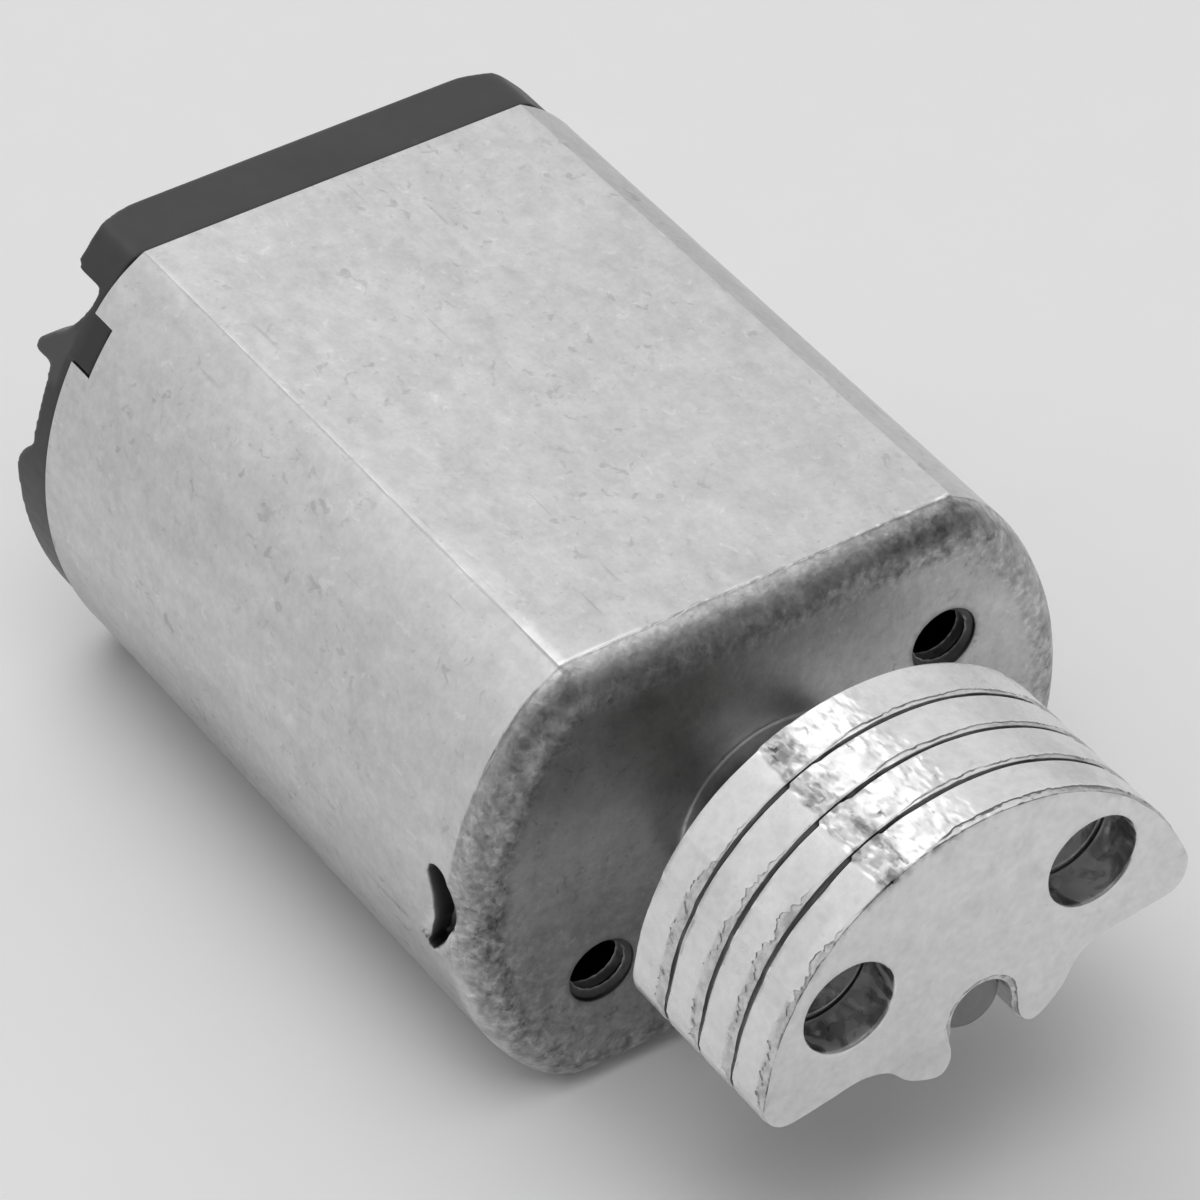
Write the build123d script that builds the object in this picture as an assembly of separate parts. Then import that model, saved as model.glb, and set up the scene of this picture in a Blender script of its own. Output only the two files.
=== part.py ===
from build123d import *
import math
import os

# Small flat-sided brushed DC motor with a stacked eccentric weight.
# Origin: centre of the front mounting face, on the shaft axis.
# +X runs along the shaft out of the front, +Z is the normal of the upper
# flat, and the motor lies on its lower flat. Millimetres.

# ---------------------------------------------------------------- dimensions
can_r = 10.2            # radius of the curved sides
can_h = 7.6             # half height over the flats
can_len = 22.7          # front face to rim
wall = 0.8              # sheet thickness
bend_r = 0.8            # bend between the walls, and into the front face
total_len = 25.0        # front face to the back of the end bell
side_len = 24.55        # the same on the curved sides

boss_r = 3.075          # drawn bearing boss
boss_len = 1.65
bush_r = 2.25           # both bearing bushes, outside
run_gap = 0.02          # radial running clearance of the shaft
front_bush = (-1.0, 1.25)
lip_r = 1.6

hole_pcd = 13.2         # two tapped mounting holes
hole_r = 1.0
hole_angle = 30.2

shaft_r = 1.0
shaft_front = 9.3
shaft_rear = -25.45

notch_mid = 32.0        # rim notch, degrees above the horizontal
notch_half = 4.6
notch_depth = 1.0

mag_in, mag_half = 6.75, 44.0
mag_x = (-17.4, -3.3)

arm_r = 6.25            # armature
lam_t, lam_n = 0.5, 16
arm_front = -5.8
arm_rear = arm_front - lam_t * lam_n
tooth_w = 2.4
hub_r = 2.6
shoe_t = 1.1
shoe_half = 50.0
ins_t = 0.5

com_r = 2.4             # commutator
com_front, com_rear = -16.4, -20.4

plate_r = 7.18          # weight plates
plate_t = 1.5
plate_pitch = 1.56
plate_front = 9.82
plate_turn = 8.7        # stack turned from upright, degrees
plate_hole_r = 1.45
plate_hole_at, plate_hole_angle = 5.08, 52.0


# ------------------------------------------------------------------- helpers
def at(x):
    return Plane.YZ.offset(x)


def cyl(r, x0, x1, y=0.0, z=0.0):
    return extrude(at(x0) * Pos(y, z) * Circle(r), x1 - x0)


def tube(r1, r0, x0, x1):
    return cyl(r1, x0, x1) - cyl(r0, x0 - 1, x1 + 1)


def block(x0, x1, y0, y1, z0, z1):
    return Pos((x0 + x1) / 2, (y0 + y1) / 2, (z0 + z1) / 2) * Box(x1 - x0, y1 - y0, z1 - z0)


def double_d(r, h, rc=0.0):
    face = Circle(r) & Rectangle(2 * r + 2, 2 * h)
    if rc:
        face = fillet(face.vertices(), rc)
    return face


def dd_prism(r, h, rc, x0, x1):
    return extrude(at(x0) * double_d(r, h, rc), x1 - x0)


def mirror_y(s):
    return mirror(s, about=Plane.XZ)


def one(s):
    """A boolean result as one plain solid."""
    sol = s.solids()
    return sol[0] if len(sol) == 1 else Compound(children=list(sol))


parts = {}

# ----------------------------------------------------------------------- can
body = extrude(at(-can_len) * double_d(can_r, can_h), can_len)
keep = [e for e in body.edges() if e.center().X > -can_len + 0.01]
body = fillet(keep, bend_r)
body -= dd_prism(can_r - wall, can_h - wall, 0.4, -can_len - 1, -wall)
boss = cyl(boss_r, -wall / 2, boss_len)
body = body + boss
base = [e for e in body.edges().filter_by(GeomType.CIRCLE)
        if abs(e.center().X) < 1e-3 and abs(e.radius - boss_r) < 1e-3]
body = fillet(base, 0.22)
tip = [e for e in body.edges().filter_by(GeomType.CIRCLE)
       if abs(e.center().X - boss_len) < 1e-3 and abs(e.radius - boss_r) < 1e-3]
body = fillet(tip, 0.35)
body -= cyl(bush_r, -wall - 1, front_bush[1])
body -= cyl(lip_r, 0, boss_len + 1)
hy = hole_pcd / 2 * math.cos(math.radians(hole_angle))
hz = hole_pcd / 2 * math.sin(math.radians(hole_angle))
for s in (1, -1):
    body -= cyl(hole_r, -wall - 1, 1, s * hy, s * hz)
    body -= Plane(origin=(-0.13, s * hy, s * hz), z_dir=(1, 0, 0)) * Pos(0, 0, 0.1) * Cone(hole_r, hole_r + 0.2, 0.2)

# half-moon lance near the front on each curved side: the opening, and the tab
# behind it pressed inwards as the magnet's stop
xy = Plane(origin=(0, -12, 0), x_dir=(1, 0, 0), z_dir=(0, 1, 0))
lance = make_face([
    ThreePointArc((-2.0, 1.52), (-1.66, 0), (-2.0, -1.52)),
    Line((-2.0, -1.52), (-1.5, -1.6)),
    ThreePointArc((-1.5, -1.6), (-0.5, 0), (-1.5, 1.6)),
    Line((-1.5, 1.6), (-2.0, 1.52))])
# Plane with z_dir +Y and x_dir +X has local y = -Z; the outline is symmetric
slot_cut = extrude(xy * lance, 12 - can_r + 1.15)
tab_poly = make_face(Polyline((-3.1, -can_r + wall + 0.05), (-2.0, -can_r + wall - 0.05),
                              (-2.0, -can_r + wall + 0.75), (-2.3, -can_r + wall + 0.75), close=True))
tab = Pos(0, 0, 1.4) * extrude(Plane.XY * tab_poly, -2.8)
for cut, bump in ((slot_cut, tab), (mirror_y(slot_cut), mirror_y(tab))):
    body = body + bump
    body -= cut


def rim_key(grow, r0, r1, x0, x1):
    half = math.radians(notch_half) * can_r + grow
    b = block(x0, x1, r0, r1, -half, half)
    return b


for s in (1, -1):
    k = Rot(notch_mid if s > 0 else 180 - notch_mid, 0, 0) * rim_key(0.0, can_r - 1.6, can_r + 1, -can_len - 1, -can_len + notch_depth)
    body -= k
can = one(body)
parts["can"] = can

# ------------------------------------------------------------ front bearing
fb = tube(bush_r, shaft_r + run_gap, *front_bush)
fb = chamfer([e for e in fb.edges().filter_by(GeomType.CIRCLE) if abs(e.radius - bush_r) < 1e-3], 0.15)
parts["front_bearing"] = one(fb)


# ------------------------------------------------------------------ magnets
def sector(r0, r1, mid, half, x0, x1):
    a0, a1 = math.radians(mid - half), math.radians(mid + half)
    m = math.radians(mid)

    def p(r, a):
        return (r * math.cos(a), r * math.sin(a))
    f = make_face([ThreePointArc(p(r1, a0), p(r1, m), p(r1, a1)), Line(p(r1, a1), p(r0, a1)),
                   ThreePointArc(p(r0, a1), p(r0, m), p(r0, a0)), Line(p(r0, a0), p(r1, a0))])
    return extrude(at(x0) * f, x1 - x0)


mag_out = can_r - wall
for name, mid in (("magnet_right", 0), ("magnet_left", 180)):
    parts[name] = one(sector(mag_in, mag_out, mid, mag_half, *mag_x))

# U-shaped clip: base on the lower flat, legs along the magnets' lower ends
sp_t = 0.3
floor_z = -(can_h - wall)


def leg(side):
    a = math.radians(-mag_half)
    d = (math.cos(a), math.sin(a))
    n = (math.sin(a), -math.cos(a))       # away from the magnet's end face

    def q(t, w):
        return (side * (d[0] * t + n[0] * w), d[1] * t + n[1] * w)
    return make_face(Polyline(q(6.95, 0.0), q(9.0, 0.0), (side * 6.35, -6.62), (side * 6.2, floor_z),
                              (side * 5.5, floor_z), (side * 5.5, floor_z + sp_t), q(8.3, sp_t), q(6.95, sp_t), close=True))


clip2d = make_face(Polyline((-5.7, floor_z), (5.7, floor_z), (5.7, floor_z + sp_t), (-5.7, floor_z + sp_t), close=True))
clip = extrude(at(-14.8) * clip2d, 8.6)
for s in (1, -1):
    clip = clip + extrude(at(-14.8) * leg(s), 8.6)
parts["magnet_spring"] = one(clip)

# -------------------------------------------------------------------- shaft
sh = cyl(shaft_r, shaft_rear, shaft_front)
sh = chamfer([e for e in sh.edges().filter_by(GeomType.CIRCLE)], 0.12)
parts["shaft"] = one(sh)


# ------------------------------------------------------ armature laminations
def core_profile(r_out, shoe, tooth, hub, half, bore):
    f = Circle(hub)
    for k in range(3):
        f = f + Rot(0, 0, 90 + 120 * k) * (Pos((r_out - shoe / 2) / 2, 0) * Rectangle(r_out - shoe / 2, tooth))
    ring = Circle(r_out) - Circle(r_out - shoe)
    for k in range(3):
        gap = make_face(Polyline((0, 0), (20 * math.cos(math.radians(60 - half)), 20 * math.sin(math.radians(60 - half))),
                                 (20 * math.cos(math.radians(60 - half)), -20 * math.sin(math.radians(60 - half))), close=True))
        ring = ring - Rot(0, 0, 30 + 120 * k) * gap
    return (f + ring) - Circle(bore)


prof = core_profile(arm_r, shoe_t, tooth_w, hub_r, shoe_half, shaft_r)
lams = []
for i in range(lam_n):
    x1 = arm_front - i * lam_t
    s = extrude(at(x1 - lam_t) * prof, lam_t)
    lams.append(one(s))
parts["armature_laminations"] = Compound(children=lams)

ins = core_profile(arm_r - 0.15, shoe_t - 0.3, tooth_w, hub_r, shoe_half - 1, shaft_r)
front_ins = extrude(at(arm_front) * ins, ins_t) + tube(1.9, shaft_r, arm_front, -1.7)
rear_ins = extrude(at(arm_rear - ins_t) * ins, ins_t) + tube(1.9, shaft_r, com_front + 0.0, arm_rear)
parts["core_insulator_front"] = one(front_ins)
parts["core_insulator_rear"] = one(rear_ins)

# ----------------------------------------------------------------- windings
w_r0, w_r1 = 2.95, 4.48
w_half = 2.35
wx1, wx0 = arm_front + ins_t + 1.0, arm_rear - ins_t - 1.0
for k in range(3):
    coil = block(wx0, wx1, w_r0, w_r1, -w_half, w_half)
    coil = fillet(coil.edges().filter_by(Axis.Y), 0.8)
    coil -= block(arm_rear - ins_t - 0.03, arm_front + ins_t + 0.03, w_r0 - 1, w_r1 + 1, -tooth_w / 2 - 0.03, tooth_w / 2 + 0.03)
    parts["winding_%d" % (k + 1)] = one(Rot(90 + 120 * k, 0, 0) * coil)

# --------------------------------------------------------------- commutator
hub = tube(1.9, shaft_r, -21.9, com_front)
parts["commutator_hub"] = one(hub)
segs = []
for k in range(3):
    a = 30 + 120 * k
    s = sector(1.9, com_r, a, 57.0, com_rear, com_front) + sector(1.9, 3.3, a, 14.0, com_front - 0.35, com_front)
    segs.append(one(s))
parts["commutator_segments"] = Compound(children=segs)
parts["commutator_ring"] = one(tube(2.95, com_r, com_front - 1.15, com_front - 0.35))

# --------------------------------------------------------------- thrust washers
parts["thrust_washer_front"] = one(tube(2.0, shaft_r, -1.7, -1.2))
parts["thrust_washer_rear"] = one(tube(2.0, shaft_r, -22.4, -21.9))

# ----------------------------------------------------------------- end bell
eb = dd_prism(can_r - 0.1, can_h - 0.1, 0.7, -total_len, -can_len)
# seen from above, the rear corners are drawn in on the curved sides
plan_half = [(-side_len, 7.6), (-24.64, 6.85), (-24.9, 6.1), (-total_len, 5.3)]
plan = make_face([
    Line((-22, 11), (-side_len, 11)), Line((-side_len, 11), plan_half[0]),
    Spline(*plan_half, tangents=[(0, -1), (0, -1)]),
    Line((-total_len, 5.3), (-total_len, -5.3)),
    Spline(*[(x, -y) for x, y in plan_half[::-1]], tangents=[(0, -1), (0, -1)]),
    Line((-side_len, -7.6), (-side_len, -11)), Line((-side_len, -11), (-22, -11)), Line((-22, -11), (-22, 11))])
eb = eb & (Pos(0, 0, -8) * extrude(plan, 16))
eb = eb + dd_prism(can_r - wall - 0.02, can_h - wall - 0.02, 0.38, -can_len, -20.5)
# hollow towards the armature
eb -= dd_prism(8.1, 5.6, 0.4, -21.8, -20.0)
eb = eb + cyl(3.3, -22.0, -21.4)
# rear boss with the bush
rear_boss = cyl(3.0, -total_len + 0.5, -25.7)
rear_boss = fillet([e for e in rear_boss.edges().filter_by(GeomType.CIRCLE) if abs(e.center().X + 25.7) < 1e-3], 0.25)
eb = eb + rear_boss
# terminal pockets in the rear face, left and right of the central block
pocket = dd_prism(9.5, 6.4, 0.8, -total_len - 1, -23.0) & block(-26, -22, -12, -4.6, -5.2, 6.2)
pocket = one(pocket)
eb -= pocket
eb -= mirror_y(pocket)
eb -= cyl(bush_r, -25.2, -20.0)
eb -= cyl(lip_r, -27, -25)
# wire notch and lowered rim on each side, seen as a profile in X and Z
notch = make_face([
    Line((-25.6, 7.0), (-24.72, 6.9)),
    Spline((-24.72, 6.9), (-24.53, 6.66), (-24.30, 6.46), (-23.95, 6.42), (-23.5, 6.44), (-23.16, 6.38), (-23.07, 6.1), (-23.22, 5.62),
           (-23.62, 5.08), (-24.1, 4.74), (-24.45, 4.44), (-24.58, 4.24), (-24.46, 4.08), (-24.2, 4.03), (-23.82, 4.06), (-23.62, 3.92)),
    Line((-23.62, 3.92), (-23.58, 3.3)), Line((-23.58, 3.3), (-23.6, 2.2)), Line((-23.6, 2.2), (-23.64, 1.5)),
    Spline((-23.64, 1.5), (-23.8, 1.2), (-24.1, 0.93), (-24.42, 0.42), (-24.58, -0.1), (-24.7, -0.8)),
    Line((-24.7, -0.8), (-25.6, -1.0)), Line((-25.6, -1.0), (-25.6, 7.0))])
for prof_xz, y_in in ((notch, -4.7),):
    c = extrude(Plane(origin=(0, -11, 0), x_dir=(1, 0, 0), z_dir=(0, -1, 0)) * prof_xz, -(11 + y_in))
    eb -= c
    eb -= mirror_y(c)
# slots for the terminals, and the keys that fill the can's rim notches
term_y = (6.0, 6.4)
term_z = (-1.5, 1.9)
for s in (1, -1):
    a, b = sorted((s * term_y[0], s * term_y[1]))
    eb -= block(-26, -20, a - 0.02, b + 0.02, term_z[0] - 0.02, term_z[1] + 0.02)
    k = Rot(notch_mid if s > 0 else 180 - notch_mid, 0, 0) * rim_key(-0.03, can_r - 1.3, can_r - 0.08, -can_len - 0.3, -can_len + notch_depth - 0.04)
    eb = eb + k
# shallow moulded details of the rear face: two gate marks and two slots
for s in (1, -1):
    eb -= cyl(0.75, -25.5, -24.45, 0, s * 5.2)
parts["end_bell"] = one(eb)

rb = tube(bush_r, shaft_r + run_gap, -25.2, -22.6)
rb = chamfer([e for e in rb.edges().filter_by(GeomType.CIRCLE) if abs(e.radius - bush_r) < 1e-3], 0.15)
parts["rear_bearing"] = one(rb)

# --------------------------------------------------- terminals and brushes
for name, s in (("right", 1), ("left", -1)):
    a, b = sorted((s * term_y[0], s * term_y[1]))
    blade = block(-26.9, -18.0, a, b, term_z[0], term_z[1])
    # the tail outside is narrower, round-ended, with a wire hole
    blade -= block(-28, -24.2, a - 1, b + 1, term_z[0] - 1, term_z[0] + 0.5)
    blade -= block(-28, -24.2, a - 1, b + 1, term_z[1] - 0.5, term_z[1] + 1)
    mid = (term_z[0] + term_z[1]) / 2
    hole = Pos(-25.9, (a + b) / 2, mid) * Rot(90, 0, 0) * Cylinder(0.45, 3)
    blade -= hole
    tail = [e for e in blade.edges().filter_by(Axis.Y) if e.center().X < -26.8]
    blade = fillet(tail, 0.9)
    # upright inside the can that carries the brush
    blade = blade + block(-19.2, -18.0, a, b, term_z[1] - 0.1, 4.3)
    parts["terminal_" + name] = one(blade)
    # leaf: along the commutator's side, then outwards to the terminal
    t = 0.15
    y0 = com_r + 0.08
    leaf = block(-19.2, -18.0, y0, y0 + t, -1.7, 4.1)
    leaf = leaf + block(-19.2, -18.0, y0, term_y[0], 4.1 - t, 4.1)
    leaf = leaf if s > 0 else mirror_y(leaf)
    parts["brush_" + name] = one(leaf)


# ------------------------------------------------------------ weight plates
def plate_face():
    """Fan outline in the weight's own axes: first across, second towards the heavy side."""
    R = plate_r
    a = math.radians(10.0)
    rim_end = (R * math.cos(a), R * math.sin(a))
    half = [
        ThreePointArc((0, R), (R * math.cos(math.radians(50)), R * math.sin(math.radians(50))), rim_end),
        Spline(rim_end, (6.98, 0.62), (6.62, 0.2), (6.0, 0.1), tangents=[(math.sin(a), -math.cos(a)), (-1, 0)]),
        Line((6.0, 0.1), (4.3, 0.14)),
        Spline((4.3, 0.14), (3.6, 0.02), (3.12, -0.28), (2.75, -0.78), (2.4, -1.12), (1.95, -1.4), (1.5, -1.5), (1.18, -1.22),
               (1.06, -0.5), tangents=[(-1, 0.02), (-0.1, 1)]),
        Line((1.06, -0.5), (1.0, 0.0)),
        ThreePointArc((1.0, 0.0), (math.sqrt(0.5), math.sqrt(0.5)), (0, 1.0))]
    f = make_face(half + [mirror(e, about=Plane.YZ) for e in half])
    for s in (1, -1):
        t = math.radians(90 - s * plate_hole_angle)
        f -= Pos(plate_hole_at * math.cos(t), plate_hole_at * math.sin(t)) * Circle(plate_hole_r)
    return f


pf = Rot(0, 0, plate_turn) * plate_face()
for i in range(4):
    x1 = plate_front - (3 - i) * plate_pitch
    parts["weight_plate_%d" % (i + 1)] = one(extrude(at(x1 - plate_t) * pf, plate_t))

# -------------------------------------------------------------------- export
os.makedirs("parts", exist_ok=True)
for node, shape in parts.items():
    export_step(shape, "parts/%s.step" % node)
print("nodes", len(parts))
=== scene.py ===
import math

import bmesh
import bpy
import numpy as np
from mathutils import Matrix, Vector
from mathutils.geometry import delaunay_2d_cdt


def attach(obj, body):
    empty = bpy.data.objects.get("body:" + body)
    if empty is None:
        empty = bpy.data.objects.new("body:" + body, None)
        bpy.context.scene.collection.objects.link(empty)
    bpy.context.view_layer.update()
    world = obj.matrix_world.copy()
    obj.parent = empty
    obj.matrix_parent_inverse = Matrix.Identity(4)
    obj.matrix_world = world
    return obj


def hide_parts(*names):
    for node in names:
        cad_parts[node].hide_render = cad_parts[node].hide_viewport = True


# A small flat-sided motor lying on its lower flat, with a stack of fan-shaped
# plates on its shaft. Sizes below are in millimetres in the frame of the
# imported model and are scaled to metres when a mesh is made.

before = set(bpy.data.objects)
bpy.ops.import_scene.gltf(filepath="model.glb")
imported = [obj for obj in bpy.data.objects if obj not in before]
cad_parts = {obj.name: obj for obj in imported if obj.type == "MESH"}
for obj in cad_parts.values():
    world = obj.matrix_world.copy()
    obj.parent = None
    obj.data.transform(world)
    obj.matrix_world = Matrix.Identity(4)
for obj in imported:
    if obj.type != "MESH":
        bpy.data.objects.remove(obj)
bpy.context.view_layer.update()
scene = bpy.context.scene
MM = 0.001

# ---------------------------------------------------------------- dimensions
R, H = 10.2, 7.6                     # curved sides, flats
LEN, WALL, RB = 22.7, 0.8, 1.0       # can length, sheet, bend at the front
# the flat ends at YC in a slight kink, and an arc of RHO leads into the curved side
YC, TH1 = 6.47, math.radians(38.0)
_k = YC * math.cos(TH1) + H * math.sin(TH1)
RHO = (YC ** 2 + H ** 2 + R ** 2 - 2 * R * _k) / (2 * (R - _k))
CY, CZ = (R - RHO) * math.cos(TH1), (R - RHO) * math.sin(TH1)
THC = math.atan2(H - CZ, YC - CY)
BOSS_R, BOSS_L, BUSH_R, LIP_R = 3.075, 1.65, 2.25, 1.6
PCD, HOLE_ANGLE, HOLE_R = 13.2, 30.2, 1.0
NOTCH = (27.4, 36.6)                 # degrees above the horizontal
NOTCH_D = 1.0
PLATE_R, PLATE_T, PITCH, FRONT = 7.18, 1.5, 1.56, 9.82
TURN = 8.7


# -------------------------------------------------------------------- noise
def _rnd(i, j, k, seed):
    n = (i * 1619 + j * 31337 + k * 6971 + seed * 1013) & 0x7FFFFFFF
    n = (n ^ (n >> 13)) & 0x7FFFFFFF
    n = (n * ((n * n * 15731 + 789221) & 0x7FFFFFFF) + 1376312589) & 0x7FFFFFFF
    return n / 1073741824.0 - 1.0


def noise(p, freq, seed=0):
    """Smooth value noise in -1..1 at points p (N, 3)."""
    with np.errstate(over="ignore"):
        q = np.asarray(p, float) * np.asarray(freq, float)
        i = np.floor(q).astype(np.int64)
        f = q - i
        f = f * f * f * (f * (f * 6 - 15) + 10)
        out = 0
        for a in (0, 1):
            for b in (0, 1):
                for c in (0, 1):
                    w = (f[:, 0] if a else 1 - f[:, 0]) * (f[:, 1] if b else 1 - f[:, 1]) * (f[:, 2] if c else 1 - f[:, 2])
                    out = out + w * _rnd(i[:, 0] + a, i[:, 1] + b, i[:, 2] + c, seed)
    return out


def fbm(p, freq, octaves=3, seed=0):
    f = np.asarray(freq, float)
    out, amp, tot = 0, 1.0, 0
    for o in range(octaves):
        out = out + amp * noise(p, f * 2 ** o, seed + 17 * o)
        tot += amp
        amp *= 0.5
    return out / tot


def ramp(a, b, x):
    t = np.clip((np.asarray(x, float) - a) / (b - a), 0, 1)
    return t * t * (3 - 2 * t)


def bell(x, w):
    return np.exp(-(np.asarray(x, float) / w) ** 2)


# ----------------------------------------------------------------- mesh tools
class Mesh:
    def __init__(self):
        self.v, self.f, self.n = [], [], 0

    def add(self, pts, faces):
        pts = np.asarray(pts, float).reshape(-1, 3)
        self.v.append(pts)
        base = self.n
        self.f.append([tuple(base + int(i) for i in f) for f in faces])
        self.n += len(pts)
        return base

    def grid(self, pts, wrap=False, skip=None):
        """pts (rows, columns, 3)."""
        r, c = pts.shape[:2]
        cols = c if wrap else c - 1
        faces = []
        for j in range(r - 1):
            for i in range(cols):
                if skip is not None and skip[j, i]:
                    continue
                k = (i + 1) % c
                faces.append((j * c + i, j * c + k, (j + 1) * c + k, (j + 1) * c + i))
        self.add(pts.reshape(-1, 3), faces)

    def make(self, name, merge=0.002, sharp=32.0, move=None):
        v = np.concatenate(self.v) * MM
        f = [x for part in self.f for x in part]
        me = bpy.data.meshes.new(name)
        me.from_pydata(v.tolist(), [], f)
        bm = bmesh.new()
        bm.from_mesh(me)
        bmesh.ops.remove_doubles(bm, verts=bm.verts, dist=merge * MM)
        bmesh.ops.dissolve_degenerate(bm, edges=bm.edges, dist=merge * MM * 0.2)
        loose = [x for x in bm.verts if not x.link_faces]
        bmesh.ops.delete(bm, geom=loose, context="VERTS")
        bmesh.ops.recalc_face_normals(bm, faces=bm.faces)
        open_edges = sum(1 for e in bm.edges if not e.is_manifold)
        bm.to_mesh(me)
        bm.free()
        me.shade_smooth()
        me.set_sharp_from_angle(angle=math.radians(sharp))
        ob = bpy.data.objects.new(name, me)
        scene.collection.objects.link(ob)
        print("PIECE", name, len(me.vertices), "vertices, open edges", open_edges)
        return ob


def inside(poly, pts):
    """Points inside a closed 2-D polygon."""
    poly, pts = np.asarray(poly), np.asarray(pts)
    res = np.zeros(len(pts), bool)
    x, y = pts[:, 0], pts[:, 1]
    for k in range(len(poly)):
        x0, y0 = poly[k - 1]
        x1, y1 = poly[k]
        hit = ((y0 > y) != (y1 > y))
        if y1 != y0:
            res ^= hit & (x < (x1 - x0) * (y - y0) / (y1 - y0) + x0)
    return res


def near(poly, pts, d):
    """Points closer than d to a closed polyline."""
    poly, pts = np.asarray(poly, float), np.asarray(pts, float)
    out = np.zeros(len(pts), bool)
    nxt = np.roll(poly, -1, axis=0)
    for s in range(0, len(pts), 4000):
        q = pts[s:s + 4000][:, None, :]
        ab = (nxt - poly)[None]
        ap = q - poly[None]
        t = np.clip((ap * ab).sum(-1) / np.maximum((ab ** 2).sum(-1), 1e-12), 0, 1)
        dist = np.linalg.norm(ap - ab * t[..., None], axis=-1).min(1)
        out[s:s + 4000] = dist < d
    return out


def clean_loop(loop, tol=1e-3):
    keep = []
    for p in loop:
        if not keep or math.dist(p, keep[-1]) > tol:
            keep.append((float(p[0]), float(p[1])))
    if math.dist(keep[0], keep[-1]) <= tol:
        keep.pop()
    return keep


def fill(outer, holes, h, seed=0, extra=None):
    """Triangles of a flat region with holes, with inner points about h apart. Returns points (N, 2) and faces."""
    outer = clean_loop(outer)
    holes = [clean_loop(x) for x in holes]
    lo, hi = np.min(outer, axis=0), np.max(outer, axis=0)
    nx, ny = int((hi[0] - lo[0]) / h) + 2, int((hi[1] - lo[1]) / (h * 0.87)) + 2
    g = np.array([(lo[0] + (i + 0.5 * (j % 2)) * h, lo[1] + j * h * 0.87) for j in range(ny) for i in range(nx)])
    rng = np.random.RandomState(seed)
    g = g + rng.uniform(-0.12, 0.12, g.shape) * h
    if extra is not None:
        g = np.concatenate([g, extra])
    ok = inside(outer, g)
    for x in holes:
        ok &= ~inside(x, g)
    g = g[ok]
    for x in [outer] + holes:
        g = g[~near(x, g, 0.45 * h)]
    pts, edges = [], []
    for x in [outer] + holes:
        b = len(pts)
        pts += x
        edges += [(b + i, b + (i + 1) % len(x)) for i in range(len(x))]
    pts += [tuple(q) for q in g]
    res = delaunay_2d_cdt([Vector(q) for q in pts], edges, [], 0, 1e-7)
    p = np.array([(q[0], q[1]) for q in res[0]])
    tri = np.array([f for f in res[2] if len(f) == 3])
    mid = p[tri].mean(1)
    ok = inside(outer, mid)
    for x in holes:
        ok &= ~inside(x, mid)
    return p, tri[ok]


def circle(r, n, cy=0.0, cz=0.0, start=0.0):
    a = start + np.arange(n) * 2 * math.pi / n
    return np.stack([cy + r * np.cos(a), cz + r * np.sin(a)], 1)


def spline(pts, t0=None, t1=None, n=40):
    """Cubic curve through points, with the end directions t0 and t1 where given."""
    p = np.asarray(pts, float)
    m = len(p)
    d = np.linalg.norm(np.diff(p, axis=0), axis=1)
    u = np.concatenate([[0], np.cumsum(d)])
    A = np.zeros((m, m))
    B = np.zeros((m, 2))
    for i in range(1, m - 1):
        h0, h1 = d[i - 1], d[i]
        A[i, i - 1], A[i, i], A[i, i + 1] = h1, 2 * (h0 + h1), h0
        B[i] = 3 * (h1 * (p[i] - p[i - 1]) / h0 + h0 * (p[i + 1] - p[i]) / h1)
    for i, j, t, h in ((0, 1, t0, d[0]), (m - 1, m - 2, t1, d[-1])):
        if t is None:
            A[i, i], A[i, j] = 2, 1
            B[i] = 3 * (p[max(i, j)] - p[min(i, j)]) / h
        else:
            A[i, i] = 1
            B[i] = np.asarray(t, float) / np.linalg.norm(t)
    T = np.linalg.solve(A, B)
    out = []
    for i in range(m - 1):
        k = max(2, int(round(n * d[i] / u[-1])))
        t = np.linspace(0, 1, k, endpoint=False)[:, None]
        h = d[i]
        out.append((2 * t ** 3 - 3 * t ** 2 + 1) * p[i] + (t ** 3 - 2 * t ** 2 + t) * h * T[i]
                   + (-2 * t ** 3 + 3 * t ** 2) * p[i + 1] + (t ** 3 - t ** 2) * h * T[i + 1])
    return np.concatenate(out + [p[-1:]])


# =================================================================== the can
L_FLAT, L_CORNER, L_SIDE = 2 * YC, RHO * (THC - TH1), 2 * TH1 * R
TOTAL_S = 2 * (L_FLAT + 2 * L_CORNER + L_SIDE)


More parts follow.
